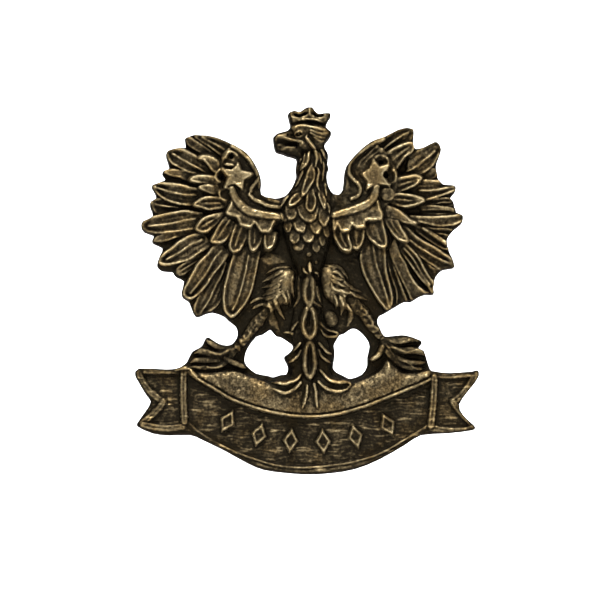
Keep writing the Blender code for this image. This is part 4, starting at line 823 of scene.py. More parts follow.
CROWN_LINES = [
    ([(-1.15, 21.6), (-0.05, 21.73), (0.95, 21.65), (1.95, 21.4)], 0.4, 0.14),
    ([(-1.8, 22.5), (-1.9, 22.25), (-1.8, 22.0), (-1.35, 21.85), (-0.95, 21.85)], 0.4, 0.13),
    ([(-0.75, 21.95), (-0.15, 22.1), (0.3, 22.3), (0.55, 22.15), (0.95, 21.95)], 0.4, 0.13),
    ([(0.35, 22.15), (0.37, 23.05)], 0.4, 0.14),
    ([(1.35, 21.85), (1.75, 21.85), (2.1, 22.0), (2.3, 22.35)], 0.4, 0.13),
    ([(2.25, 21.55), (2.55, 22.05)], 0.2, 0.15),
]


def body(r):
    """Neck, breast and belly, with painted shade that darkens them towards the belly and on the right side of
    the neck.
    """
    w, d = r.dome(BODY, 1.25, 1.65, 2.3, groove=0.05, tint=-0.22, slope=1.5, merge=True)
    # Painted shade: darker towards the belly
    r.tint[w] -= np.where(d < 0, 0.8 * smooth(10.0, 6.0, r.z[w]), 0)
    r.roughen(w, d, 0.1, 0.16, 7)
    for number, rim in enumerate(BREAST):
        r.scale(rim, min(-0.1, -0.04 * (8 - number)))
    for rim in NECK_FEATHERS:
        r.scale(rim, 0.03, hollow=0.12)
    for points, half in NECK_LOCKS:
        r.bar(points, half, 0.15, crown=0.35, groove=0.3, ends=(0.2, 0.3), on_form=True, tint=0.08)
    for points, half in BUD:
        r.bar(points, half, 0.45, crown=0.35, ends=(0.2, 0.2), on_form=True)
    r.ball(0.3, 5.3, 0.45, 0.6, 0.75)
    r.ball(1.15, 4.4, 0.28, 0.6)
    # Painted shade darkens the right side of the neck
    neck_shade_span = smooth(12.2, 13.5, r.z) * smooth(19.0, 18.0, r.z)
    r.tint -= 0.3 * smooth(1.5, 2.3, r.x) * (r.x < 3.0) * neck_shade_span


def head(r):
    """Head, beak and crown. The last lock of the neck is laid again, over the cheek."""
    r.dome(BEAK, 1.6, 0.85, 1.1, groove=0.2, tint=-0.42)
    r.dome(HEAD, 2.2, 0.9, 1.3, groove=0.0, tint=-0.2)
    r.dome(CROWN, 2.3, 0.3, 0.4, groove=0.15, tint=-0.15)
    for outline in CROWN_PITS:
        r.shape(loop(outline), lambda x, z, d: 1.9, groove=0)
    for points, height, width in HEAD_GROOVES:
        r.ridge(points, height, width, (0.05, 0.05))
    for points, height, width in HEAD_LINES + CROWN_LINES:
        r.ridge(points, height, width, (0.06, 0.06))
    for ball in HEAD_BALLS:
        r.ball(*ball)
    points, half = NECK_LOCKS[-1]
    r.bar(points, half, 0.25, crown=0.35, groove=0.3, ends=(0.2, 0.3), on_form=True, tint=0.05)


# ---------------------------------------------------------------- thighs, tail and feet
LEFT_THIGH = [
    (-1.3, 3.4), (-2.6, 3.9), (-3.6, 3.4), (-4.2, 2.4), (-4.6, 1.4), (-4.9, 0.4), (-5.3, -0.8), (-5.2, -1.8),
    (-4.4, -1.9), (-3.6, -1.2), (-2.9, -0.8), (-2.2, -0.6), (-1.7, 0.2), (-1.4, 1.0), (-1.2, 2.0),
]
RIGHT_THIGH = [
    (1.7, 3.6), (2.5, 4.2), (3.6, 4.0), (4.3, 3.3), (4.8, 2.4), (5.4, 1.3), (6.2, 0.3), (6.8, -0.7),
    (6.3, -1.4), (5.6, -1.6), (4.9, -1.3), (4.2, -1.0), (3.5, -0.9), (2.9, -0.3), (2.3, 0.2), (1.8, 1.0),
    (1.6, 2.2),
]
TAIL = [
    (-1.1, 0.6), (-1.5, -1.6), (-1.9, -3.6), (-1.6, -5.0), (-1.5, -5.9), (-2.3, -6.9), (-2.4, -7.6),
    (-1.8, -8.2), (-1.9, -9.2), (-2.6, -9.5), (-3.8, -9.7), (-4.4, -10.3), (-3.6, -11.2), (-2.2, -11.6),
    (-1.1, -11.3), (-0.4, -10.9), (0.5, -11.0), (1.4, -11.0), (1.9, -11.4), (3.0, -11.4), (4.4, -11.2),
    (5.4, -10.6), (5.1, -9.9), (3.6, -9.5), (3.0, -9.0), (2.8, -8.2), (3.0, -7.7), (3.1, -6.6), (2.8, -6.0),
    (2.6, -5.0), (2.4, -4.2), (2.0, -2.6), (1.7, -1.0), (1.6, 0.6),
]
TUFTS = [
    # (points, half width), the left thigh first
    ([(-1.9, 3.9), (-3.0, 3.95), (-4.0, 3.6), (-4.9, 3.1)], 0.16),
    ([(-2.7, 3.5), (-3.4, 3.2), (-4.1, 2.8), (-4.8, 2.4), (-5.3, 2.1)], 0.22),
    ([(-2.8, 2.8), (-3.3, 2.5), (-3.8, 2.2), (-4.3, 2.0)], 0.17),
    ([(-2.9, 2.3), (-3.6, 1.95), (-4.2, 1.7), (-5.4, 1.4)], 0.16),
    ([(-3.1, 1.8), (-3.6, 1.5), (-4.2, 1.2), (-5.0, 0.95)], 0.2),
    ([(-3.1, 1.2), (-3.8, 0.9), (-4.6, 0.75), (-5.5, 0.4)], 0.16),
    ([(-3.0, 0.9), (-3.6, 0.6), (-4.0, 0.35), (-4.5, 0.15), (-5.6, 0.1)], 0.2),
    ([(-3.1, 0.6), (-3.8, 0.0), (-3.6, -0.6), (-3.3, -1.2), (-3.0, -1.8), (-2.6, -2.4)], 0.22),
    ([(-4.6, -0.5), (-4.4, -1.7), (-3.9, -2.8), (-3.3, -3.6)], 0.5),
    ([(-3.0, 1.0), (-2.7, 0.5), (-2.4, 0.0), (-2.2, -0.8)], 0.2),
    ([(-2.3, 1.0), (-2.0, 0.2), (-1.9, -0.6)], 0.16),
    ([(-1.6, 2.9), (-1.7, 2.0), (-1.6, 1.0), (-1.5, 0.2)], 0.16),
    # right thigh
    ([(2.3, 4.15), (3.2, 4.1), (4.0, 3.9), (4.5, 3.4), (4.9, 2.8), (5.1, 2.3)], 0.2),
    ([(3.1, 3.3), (3.8, 3.25), (4.3, 2.8), (4.7, 2.5)], 0.18),
    ([(3.0, 2.9), (3.6, 2.5), (4.1, 2.4), (4.6, 2.3)], 0.16),
    ([(3.0, 2.3), (3.7, 2.0), (4.3, 1.7), (4.9, 1.5)], 0.18),
    ([(3.0, 2.0), (3.1, 1.4), (3.7, 1.05), (4.4, 0.95), (5.1, 0.75), (5.6, 0.8)], 0.18),
    ([(4.6, 2.2), (5.2, 1.7), (5.9, 1.35)], 0.17),
    ([(5.2, 1.5), (5.9, 1.2), (6.8, 0.9)], 0.18),
    ([(5.3, 0.9), (6.3, 0.4), (7.3, 0.0)], 0.18),
    ([(4.4, 0.5), (5.5, 0.0), (6.5, -0.3)], 0.18),
    ([(4.0, 0.4), (4.3, -0.3), (4.35, -1.0), (4.2, -1.9)], 0.22),
    ([(5.0, -0.3), (5.4, -1.2), (5.4, -2.1), (5.0, -3.2)], 0.35),
    ([(3.3, 0.6), (3.6, -0.4), (3.6, -1.2)], 0.18),
    # rough tufts between thigh and wing
    ([(-5.3, 0.2), (-6.0, 0.0), (-6.8, -0.5)], 0.16),
    ([(-5.2, -0.5), (-5.9, -0.8), (-6.6, -1.2)], 0.16),
    # beside the middle tail leaf
    ([(-0.9, 2.8), (-0.95, 2.0), (-1.0, 1.0), (-0.95, 0.2), (-1.2, -0.4), (-1.6, -1.0)], 0.16),
    ([(1.3, 1.6), (1.4, 0.6), (1.6, 0.0), (1.85, -0.6)], 0.16),
    ([(0.85, -0.3), (1.3, -0.6), (1.9, -0.9)], 0.14),
]
# A smooth mound between the right thigh and the tail
MOUND = [(2.0, -1.6), (2.9, -1.2), (3.7, -1.8), (3.9, -2.7), (3.2, -3.4), (2.3, -3.1)]
THIGH_MASSES = [
    # the smooth upper part of each thigh, and a worn patch above the left one: (outline, rise, tint)
    ([(-1.4, 3.6), (-2.6, 3.7), (-3.4, 2.8), (-3.3, 1.6), (-3.1, 0.4), (-2.6, -0.7), (-1.8, -0.3),
      (-1.4, 1.6)], 0.12, 0.1),
    ([(1.5, 3.7), (2.4, 4.1), (3.2, 3.5), (3.3, 2.4), (3.1, 1.2), (2.8, 0.0), (1.9, 0.2),
      (1.6, 1.8)], 0.12, 0.1),
    ([(-5.5, 5.1), (-4.2, 5.6), (-3.0, 5.2), (-2.4, 4.4), (-3.4, 4.1), (-4.9, 4.1)], 0.15, 0.2),
]
TAIL_CURLS = [
    # (points, half width)
    ([(-1.0, -2.7), (-1.5, -3.3), (-1.9, -3.9)], 0.17),
    ([(-1.6, -4.2), (-2.1, -4.0), (-2.8, -4.0)], 0.14),
    ([(-0.6, -5.2), (-1.3, -5.9), (-1.9, -6.4), (-2.5, -6.8)], 0.2),
    ([(-0.6, -6.1), (-1.1, -6.9), (-1.7, -7.4), (-2.2, -7.7)], 0.2),
    ([(-0.6, -9.0), (-1.2, -9.7), (-2.0, -10.0), (-2.7, -10.2), (-3.5, -10.1), (-4.2, -10.05)], 0.2),
    ([(-0.6, -9.9), (-1.2, -10.6), (-1.9, -11.1), (-2.6, -11.3), (-3.3, -11.1), (-4.0, -10.8)], 0.2),
    ([(1.4, -5.2), (2.1, -6.0), (2.5, -6.4), (3.0, -6.6)], 0.2),
    ([(1.4, -6.0), (1.8, -6.9), (2.3, -7.3), (2.9, -7.7)], 0.2),
    ([(1.5, -8.4), (2.2, -9.2), (2.7, -9.7), (3.5, -10.0), (4.3, -10.0), (5.0, -9.95), (5.3, -10.3),
      (4.9, -10.75)], 0.2),
    ([(1.3, -9.8), (2.0, -10.5), (2.9, -10.95), (3.9, -11.1), (4.9, -10.85)], 0.2),
    ([(0.05, -10.3), (0.0, -11.3), (-0.2, -12.1), (-0.5, -13.1)], 0.2),
    ([(0.85, -10.1), (1.1, -11.0), (1.15, -12.0), (1.3, -13.1)], 0.2),
    ([(1.5, -2.6), (2.0, -3.2), (2.7, -3.7), (3.4, -3.9), (3.8, -4.1), (3.6, -4.45), (2.8, -4.5), (2.2, -4.3),
      (1.8, -3.8), (1.5, -3.2)], 0.16),
]
TAIL_LEAVES = [
    # (outline, level)
    ([(-0.1, -5.5), (-0.35, -6.6), (-0.4, -7.8), (-0.25, -8.8), (0.4, -9.7), (1.0, -8.8), (1.2, -7.8),
      (1.1, -6.6), (0.9, -5.5), (0.4, -4.85)], 2.7),
    ([(0.3, -0.5), (-0.3, -1.6), (-0.65, -3.0), (-0.4, -4.1), (0.35, -4.95), (1.05, -4.2), (1.25, -3.0),
      (1.0, -1.6)], 2.85),
    ([(-0.05, 2.6), (-0.35, 1.5), (-0.4, 0.5), (-0.2, -0.3), (0.35, -1.0), (0.8, -0.3), (0.95, 0.6),
      (0.9, 1.6), (0.75, 2.6), (0.35, 2.8)], 2.9),
]
FEET = [
    # (points, half widths) of the shank and toes: left, then right
    ([(-4.9, -1.5), (-5.6, -2.4), (-6.2, -3.1), (-6.7, -3.8), (-7.3, -4.7), (-7.9, -5.3), (-8.7, -5.9)],
     [0.5, 0.7, 0.6, 0.5, 0.5]),
    ([(-8.3, -5.7), (-9.5, -6.1), (-10.3, -6.0), (-11.0, -5.6), (-11.7, -5.2), (-12.05, -4.9)],
     [0.45, 0.4, 0.4, 0.2]),
    ([(-8.4, -5.9), (-9.6, -6.6), (-10.8, -6.75), (-11.8, -6.5), (-12.8, -6.3), (-13.4, -6.5)],
     [0.5, 0.5, 0.45, 0.3]),
    ([(-8.8, -6.3), (-9.6, -7.4), (-10.8, -7.5), (-12.0, -7.4), (-13.2, -7.4), (-14.0, -7.7)],
     [0.4, 0.45, 0.45, 0.3]),
    ([(-9.2, -7.0), (-10.2, -8.0), (-11.6, -8.3), (-12.8, -8.3), (-14.2, -8.2)], [0.3, 0.35, 0.35, 0.25]),
    ([(-9.8, -7.1), (-8.9, -7.6), (-8.2, -7.9), (-7.3, -8.3)], [0.3, 0.35, 0.25]),
    ([(5.2, 0.0), (6.0, -0.8), (6.8, -1.5), (7.3, -2.2), (7.8, -3.0), (8.6, -3.9), (9.4, -4.9)],
     [0.5, 0.75, 0.65, 0.55, 0.5]),
    ([(9.4, -4.9), (10.8, -5.05), (12.0, -4.9), (12.8, -4.75), (13.9, -5.0)], [0.5, 0.45, 0.4, 0.2]),
    ([(9.4, -5.4), (10.4, -5.9), (11.5, -6.2), (12.6, -6.15), (13.6, -6.3), (14.3, -6.7)],
     [0.5, 0.45, 0.45, 0.3]),
    ([(9.4, -5.6), (10.2, -6.5), (11.1, -7.2), (12.2, -7.6), (13.2, -7.7), (14.3, -7.6)],
     [0.45, 0.45, 0.4, 0.3]),
    ([(9.6, -6.2), (10.6, -7.4), (11.8, -8.1), (13.0, -8.4), (14.2, -8.4)], [0.3, 0.35, 0.35, 0.25]),
    ([(9.2, -5.8), (8.8, -6.6), (8.2, -7.1), (7.7, -7.3)], [0.35, 0.35, 0.2]),
]
SHANKS = (FEET[0], FEET[6])  # the shank is the first bar of each foot
FOOT_LINES = [
    # (points, height, width)
    ([(-5.8, -2.6), (-6.3, -3.2), (-6.7, -4.0), (-7.3, -4.8), (-7.9, -5.2), (-8.2, -5.7),
      (-9.9, -6.5)], 0.28, 0.14),
    ([(-12.1, -6.1), (-11.5, -6.4), (-10.8, -6.6), (-10.2, -6.6), (-9.5, -6.1), (-8.8, -5.95), (-8.3, -5.6)],
     0.28, 0.14),
    ([(-13.7, -8.0), (-13.0, -8.2), (-12.2, -8.05), (-11.5, -8.3), (-10.5, -8.2), (-10.0, -8.0)], 0.25, 0.13),
    ([(6.1, -1.0), (6.8, -1.1), (7.3, -1.7), (7.8, -2.4), (8.0, -3.1), (8.6, -3.6), (9.0, -4.1), (9.6, -4.7)],
     0.28, 0.14),
    ([(6.5, -1.6), (7.6, -2.2)], 0.2, 0.12),
    ([(7.3, -3.0), (8.0, -3.4)], 0.2, 0.12),
    ([(8.2, -4.4), (9.2, -4.3)], 0.2, 0.12),
    ([(9.8, -5.0), (11.0, -5.3), (12.0, -5.1), (12.6, -4.8)], 0.25, 0.13),
    ([(9.4, -5.5), (10.0, -5.8), (10.8, -5.9), (11.5, -6.2), (12.3, -6.4), (12.9, -6.2), (13.6, -6.1),
      (14.3, -6.6)], 0.25, 0.13),
    ([(9.9, -5.9), (10.4, -6.6), (10.9, -7.2), (11.7, -7.5), (12.4, -7.8), (13.0, -8.2),
      (13.6, -8.5)], 0.25, 0.13),
]


def tail_leaf(r, outline, level):
    """A leaf with an uneven rim round its sunk middle."""
    uneven = r.uneven[r.window(outline)]

    def tops(x, z, d):
        rim = (0.2 + 0.12 * uneven) * hump(d + 0.22, 0.17)
        return level - 0.24 * smooth(0.38, 0.6, -d) + rim

    w, d = r.shape(outline, tops, groove=0.35)
    r.shade(w, d, -0.3)


def tail(r):
    """The tail: curls to both sides and three leaves down its middle."""
    w, d = r.dome(TAIL, 1.3, 0.5, 0.9, groove=0.0, tint=-0.6, merge=True)
    r.settle(0.3)
    r.roughen(w, d, 0.06, 0.2, 11)
    for points, half in TAIL_CURLS:
        r.bar(points, half, 0.25, crown=0.3, groove=0.15, ends=(0.05, 0.25), on_form=True, tint=-0.2)
    for outline, level in TAIL_LEAVES:
        tail_leaf(r, loop(outline), level)
    r.ridge([(0.35, -5.9), (0.35, -8.4)], -0.35, 0.13)
    r.ridge([(0.25, -1.3), (0.2, -3.4)], -0.35, 0.12)
    r.ball(-1.1, -3.9, 0.3, 0.4)


def thigh_mass(r, outline, rise, tint):
    """Raises a smooth mass on the form under it."""
    w, d = r.shape(loop(outline), lambda x, z, d: rise * smooth(0, 0.5, -d), groove=0)
    r.h[w] = np.where(d < 0, r.h[w] + r.form[w], r.h[w])
    r.shade(w, d, tint * smooth(0, 0.5, -d))


def thighs(r):
    """Both thighs under their tufts, and the tufts round them."""
    for outline, seed in ((LEFT_THIGH, 13), (RIGHT_THIGH, 17)):
        w, d = r.dome(outline, 1.15, 1.3, 2.2, groove=0.0, tint=0.06, slope=1.0)
        r.roughen(w, d, 0.17, 0.16, seed)
    for outline, rise, tint in THIGH_MASSES:
        thigh_mass(r, outline, rise, tint)
    r.dome(MOUND, 1.0, 0.7, 1.0, groove=0.1, tint=-0.35)
    r.settle(0.4)
    for points, half in TUFTS:
        r.bar(points, half + 0.05, 0.05, crown=0.24, groove=0.06, ends=(0.15, 0.3), on_form=True, tint=-0.05)


def scutes(r, points, half):
    """Short plates across a leg, each lower in its middle."""
    line = curve(points)
    for i in range(3, len(line) - 3, 5):
        along = line[i + 2] - line[i - 2]
        along = along / np.hypot(*along)
        across = np.array([-along[1], along[0]])
        middle = line[i] + 0.3 * along
        r.ridge([line[i] - half * across, middle, line[i] + half * across], 0.22, 0.13)


def feet(r):
    """Shanks and toes. Their levels step a little, so that they show where they cross."""
    for number, (points, widths) in enumerate(FEET):
        r.bar(points, widths, 1.45 + 0.03 * (number % 3), crown=0.4, groove=0.25, ends=(0.0, 0.12), tint=-0.5)
    for points, height, width in FOOT_LINES:
        r.ridge(points, height, width, (0.1, 0.1))
    for points, widths in SHANKS:
        scutes(r, points, 0.75 * max(widths))


def casting_relief():
    """The whole face, in the order in which its forms overlap."""
    r = Relief()
    for part in (wings, scroll, tail, body, thighs, head, feet):
        part(r)
    r.h = blur(r.h, 0.04)
    for height, radius, seed in CAST_SKIN:
        r.h = r.h + height * grain(r.x.shape, radius, seed)
    r.h = np.clip(r.h, LOWEST, HIGHEST)
    return r


# ---------------------------------------------------------------- meshing the casting
def edge_distance(r):
    """Signed distance to the casting's edge, openings counted as outside."""
    d = outline_distance(r.x, r.z, loop(SILHOUETTE, 2))
    for hole in OPENINGS:
        d = np.maximum(d, -outline_distance(r.x, r.z, loop(hole, 2)))
    return d


def solid_cells(inside):
    """Grid cells with all four corners inside, without cells that meet the rest at a corner only."""
    cells = inside[:-1, :-1] & inside[1:, :-1] & inside[:-1, 1:] & inside[1:, 1:]
    for _ in range(6):
        a, b, c, d = cells[:-1, :-1], cells[1:, :-1], cells[:-1, 1:], cells[1:, 1:]
        lone = (a & d & ~b & ~c) | (b & c & ~a & ~d)
        if not lone.any():
            break
        i, k = np.nonzero(lone)
        cells[i, k] = cells[i + 1, k] = cells[i, k + 1] = cells[i + 1, k + 1] = False
    return cells


def boundary_edges(quads):
    """Edges of the quads that belong to one quad only."""
    edges = np.concatenate([quads[:, [a, (a + 1) % 4]] for a in range(4)])
    key = edges.min(1) * np.int64(quads.max() + 1) + edges.max(1)
    _, first, counts = np.unique(key, return_index=True, return_counts=True)
    return edges[first[counts == 1]]


def casting_mesh(r):
    """The relief over the casting's outline, walls round it and openings, and the flat back."""
    d = edge_distance(r)
    cells = solid_cells(d < -DRAFT)
    used = np.zeros(d.shape, bool)
    for di in (0, 1):
        for dk in (0, 1):
            used[di:di + cells.shape[0], dk:dk + cells.shape[1]] |= cells
    count = used.sum()
    index = np.full(d.shape, -1)
    index[used] = np.arange(count)
    i, k = np.nonzero(cells)
    quads = np.stack([index[i, k], index[i + 1, k], index[i + 1, k + 1], index[i, k + 1]], 1)
    boundary = boundary_edges(quads)
    rim = np.unique(boundary)

    # the rim's points move outwards on to one smooth line, inside the outline by the draft
    h = r.h[used]
    slope = np.gradient(d, STEP)
    out = np.stack([slope[0][used], slope[1][used]], 1)
    out /= np.maximum(np.linalg.norm(out, axis=1), 1e-6)[:, None]
    shift = np.zeros(count)
    shift[rim] = -DRAFT - d[used][rim]
    flat = np.stack([r.x[used], r.z[used]], 1)
    front = flat + out * shift[:, None]
    points = [np.stack([front[:, 0], -h, front[:, 1]], 1)]
    rings = [rim]

    # the front edge is rounded over, and a rough drafted wall comes down to the flat back
    rough = grain(r.x.shape, 0.25, 29)[used][rim]
    for number, (outwards, roughness, share) in enumerate(WALL_RINGS):
        base = front[rim] + out[rim] * (DRAFT * outwards + roughness * rough)[:, None]
        points.append(np.stack([base[:, 0], -h[rim] * share, base[:, 1]], 1))
        rings.append(count + number * len(rim) + np.arange(len(rim)))
    back = flat + out * (shift + DRAFT * (shift != 0))[:, None]
    points.append(np.stack([back[:, 0], np.zeros(count), back[:, 1]], 1))
    start = count + len(WALL_RINGS) * len(rim)
    rings.append(start + rim)

    place = np.full(count, -1)
    place[rim] = np.arange(len(rim))
    a, b = place[boundary[:, 0]], place[boundary[:, 1]]
    bands = zip(rings, rings[1:])
    walls = [np.stack([upper[b], upper[a], lower[a], lower[b]], 1) for upper, lower in bands]
    faces = np.concatenate([quads] + walls + [start + quads[:, ::-1]])
    verts = np.concatenate(points)
    verts[:, 2] -= POST_LEVEL
    return clean_mesh("badge_relief", verts, faces.tolist(), merge=0)


def sample(values, x, z):
    """Values of the grid between its points."""
    u, v = (x - GRID_LOW[0]) / STEP, (z - GRID_LOW[1]) / STEP
    i, k = np.clip(u.astype(int), 0, values.shape[0] - 2), np.clip(v.astype(int), 0, values.shape[1] - 2)
    u, v = u - i, v - k
    low = values[i, k] * (1 - u) + values[i + 1, k] * u
    high = values[i, k + 1] * (1 - u) + values[i + 1, k + 1] * u
    return low * (1 - v) + high * v


def clean_mesh(name, points, faces, merge=1e-7):
    """A mesh from points in millimetres, with its normals outwards. Points within merge metres join."""
    mesh = bpy.data.meshes.new(name)
    mesh.from_pydata((np.array(points) * MM).tolist(), [], faces)
    bm = bmesh.new()
    bm.from_mesh(mesh)
    if merge:
        bmesh.ops.remove_doubles(bm, verts=bm.verts, dist=merge)
    bmesh.ops.recalc_face_normals(bm, faces=bm.faces)
    bm.to_mesh(mesh)
    bm.free()
    return mesh


def new_object(name, mesh, material=None):
    """An object in the scene, with its material if it shows."""
    made = bpy.data.objects.new(name, mesh)
    bpy.context.scene.collection.objects.link(made)
    if material:
        mesh.materials.append(material)
    return made


def apply_modifiers(made):
    """Puts the mesh that the modifiers give in place of the object's own."""
    graph = bpy.context.evaluated_depsgraph_get()
    mesh = bpy.data.meshes.new_from_object(made.evaluated_get(graph))
    made.modifiers.clear()
    made.data = mesh


def sharpen_back(mesh):
    """Keeps the shading of the walls off the flat back."""
    bm = bmesh.new()
    bm.from_mesh(mesh)
    low = [f for f in bm.faces if min(-v.co.y for v in f.verts) < BACK_DEPTH * MM]
    back = {f.index for f in low if abs(f.normal.y) > 0.98}
    for edge in bm.edges:
        edge.smooth = sum(f.index in back for f in edge.link_faces) != 1
    bm.to_mesh(mesh)
    bm.free()


def mean_height(h, edge, radius):
    """Mean height round each place, counting only what lies on the casting."""
    inside = (edge < 0) * 1.0
    return blur(h * inside, radius) / np.maximum(blur(inside, radius), 0.02)


def patina_masks(r, x, z, height):
    """What the patina and the painted shade depend on at the points (x, z) of that height, as (name, values).
    """
    on_face = smooth(0.75, 0.95, height / np.maximum(sample(r.h, x, z), 0.1))
    on_back = (height < BACK_DEPTH) * BACK_SHADE
    edge = edge_distance(r)
    above_near = r.h - mean_height(r.h, edge, NEAR_RADIUS)
    above_wide = r.h - mean_height(r.h, edge, WIDE_RADIUS)
    masks = {
        "ridge": np.clip(0.5 + above_near / NEAR_RANGE, 0, 1),
        "high": np.clip(0.5 + above_wide / WIDE_RANGE, 0, 1),
        "pebble": r.pebble,
        "wood": r.wood,
        # Near the casting's edge the tint is darkened as painted shade
        "tint": blur(r.tint, 0.12) - EDGE_SHADE * smooth(-0.5, 0.0, edge),
    }
    for name, values in masks.items():
        yield name, sample(values, x, z) * on_face + (on_back if name == "ridge" else 0)


def casting(material):
    """The cast badge: thinned to the limit, with the masks of the patina and the painted shade as attributes
    of its points.
    """
    r = casting_relief()
    made = new_object("badge_relief", casting_mesh(r), material)
    thin = made.modifiers.new("thin", "DECIMATE")
    thin.ratio = min(1.0, MAX_TRIANGLES / (2 * len(made.data.polygons)))
    apply_modifiers(made)
    mesh = made.data
    mesh.shade_smooth()
    sharpen_back(mesh)
    co = np.zeros(3 * len(mesh.vertices))
    mesh.vertices.foreach_get("co", co)
    co = co.reshape(-1, 3) / MM
    for name, values in patina_masks(r, co[:, 0], co[:, 2] + POST_LEVEL, -co[:, 1]):
        layer = mesh.attributes.new(name, "FLOAT", "POINT")
        layer.data.foreach_set("value", values.astype(np.float32))
    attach(made, "badge")
    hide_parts("badge_casting")


# ---------------------------------------------------------------- materials
class Nodes:
    """Short ways to add and join a material's nodes."""

    def __init__(self, name):
        self.material = bpy.data.materials.new(name)
        self.material.use_nodes = True
        self.tree = self.material.node_tree
        self.shader = self.tree.nodes["Principled BSDF"]
        self.position = self.add("ShaderNodeNewGeometry").outputs["Position"]

    def add(self, kind, **settings):
        """A new node with those settings."""
        node = self.tree.nodes.new(kind)
        for name, value in settings.items():
            setattr(node, name, value)
        return node

    def link(self, source, target):
        """Joins a socket to an input, or sets the input to a plain value."""
        if hasattr(source, "is_output"):
            self.tree.links.new(source, target)
        else:
            target.default_value = source

    def math(self, operation, a, b):
        """A sum, difference or product of two values."""
        node = self.add("ShaderNodeMath", operation=operation)
        self.link(a, node.inputs[0])
        self.link(b, node.inputs[1])
        return node.outputs[0]

    def total(self, parts):
        """The sum of (value, middle, weight): each value counts by how far it is from its middle."""
        whole = 0.0
        for value, middle, weight in parts:
            part = self.math("MULTIPLY", self.math("SUBTRACT", value, middle), weight)
            whole = self.math("ADD", whole, part)
        return whole

    def noise(self, scale, detail, stretch=(1, 1, 1)):
        """Noise in the part's space, scale being its cells per metre."""
        mapping = self.add("ShaderNodeMapping")
        mapping.inputs["Scale"].default_value = stretch
        self.link(self.position, mapping.inputs["Vector"])
        node = self.add("ShaderNodeTexNoise")
        self.link(mapping.outputs[0], node.inputs["Vector"])
        node.inputs["Scale"].default_value = scale
        node.inputs["Detail"].default_value = detail
        return node.outputs["Fac"]

    def value(self, name):
        """One of the masks that casting() keeps with the points."""
        return self.add("ShaderNodeAttribute", attribute_name=name).outputs["Fac"]

    def ramp(self, factor, stops):
        """A colour ramp of (place, colour)."""
        node = self.add("ShaderNodeValToRGB")
        elements = node.color_ramp.elements
        while len(elements) < len(stops):
            elements.new(0.5)
        for element, (place, colour) in zip(elements, stops):
            element.position = place
            element.color = (*colour, 1.0)
        self.link(factor, node.inputs["Fac"])
        return node.outputs["Color"]

    def mix(self, factor, a, b):
        """A mix of two colours. They are inputs 6 and 7 of the node, and the result is output 2."""
        node = self.add("ShaderNodeMix", data_type="RGBA")
        for number, source in ((0, factor), (6, a), (7, b)):
            self.link(source, node.inputs[number])
        return node.outputs[2]

    def range(self, value, low, high, to_low=0.0, to_high=1.0):
        """Brings the range low to high smoothly to another one."""
        node = self.add("ShaderNodeMapRange", interpolation_type="SMOOTHSTEP")
        for number, amount in enumerate((value, low, high, to_low, to_high)):
            self.link(amount, node.inputs[number])
        return node.outputs[0]

    def bump(self, height, distance, strength):
        """Roughens the shading by a height."""
        node = self.add("ShaderNodeBump")
        node.inputs["Distance"].default_value = distance
        node.inputs["Strength"].default_value = strength
        self.link(height, node.inputs["Height"])
        self.link(node.outputs[0], self.shader.inputs["Normal"])


def antique_brass():
    """Brass under a near-black patina that is rubbed through on ridges and high places, with painted shade
    from the tint mask.
    """
    n = Nodes("antique_brass")
    fine, speck, cloud = n.noise(5200, 3), n.noise(2300, 6), n.noise(260, 4)
    streak = n.noise(1500, 5, (0.22, 1, 1.6))
    scratches = n.math("MULTIPLY", n.value("wood"), n.range(streak, 0.52, 0.72, -0.1, 0.32))
    pebbles = n.math("MULTIPLY", n.value("pebble"), n.total([(fine, 0.425, 0.4)]))
    # The tint mask adds painted shade and shadow to the patina's tone
    tone = n.total([
        (n.value("ridge"), 0, 0.85), (n.value("high"), 0, 0.3), (speck, 0.5, 0.65), (fine, 0.5, 0.35),
        (cloud, 0.5, 0.35), (n.value("tint"), 0, 0.5), (pebbles, 0, 1), (scratches, 0, 1),
    ])
    worn = [
        (0.36, (0.0080, 0.0064, 0.0038)), (0.52, (0.0240, 0.0184, 0.0100)), (0.66, (0.054, 0.0405, 0.0215)),
        (0.80, (0.090, 0.068, 0.035)), (0.94, (0.145, 0.111, 0.058)), (1.0, (0.22, 0.173, 0.095)),
    ]
    rusty = [(place, (1.05 * red, 0.97 * green, 0.84 * blue)) for place, (red, green, blue) in worn]
    patches = n.range(n.noise(420, 5), 0.46, 0.6)
    n.link(n.mix(patches, n.ramp(tone, worn), n.ramp(tone, rusty)), n.shader.inputs["Base Color"])
    n.shader.inputs["Metallic"].default_value = 0.92
    n.shader.inputs["Specular IOR Level"].default_value = 0.25
    n.shader.inputs["Specular Tint"].default_value = (0.3, 0.25, 0.17, 1)
    n.link(n.range(tone, 0.4, 0.95, 0.62, 0.36), n.shader.inputs["Roughness"])
    n.bump(n.total([(fine, 0, 1), (speck, 0, 1.5)]), 0.00004, 0.9)
    return n.material


def plated(slot, colour, dull, roughness):
    """Rolled or drawn metal with faint scratches and tarnish, for one of the record's slots."""
    n = Nodes(slot)
    n.material["slot"] = slot
    cloud, scratch, fine = n.noise(420, 5), n.noise(2600, 4, (1, 0.15, 1)), n.noise(7000, 2)
    n.link(n.ramp(cloud, [(0.35, dull), (0.62, colour)]), n.shader.inputs["Base Color"])
    n.link(n.range(scratch, 0.35, 0.7, roughness, roughness + 0.18), n.shader.inputs["Roughness"])
    n.shader.inputs["Metallic"].default_value = 1.0
    n.bump(n.math("ADD", fine, scratch), 0.00001, 0.5)
    return n.material


def paper(name, colour):
    """Pale paper with a faint cloud in it."""
    n = Nodes(name)
    dim = tuple(0.985 * c for c in colour)
    n.link(n.ramp(n.noise(40, 3), [(0.3, colour), (0.7, dim)]), n.shader.inputs["Base Color"])
    n.shader.inputs["Roughness"].default_value = 0.9
    return n.material


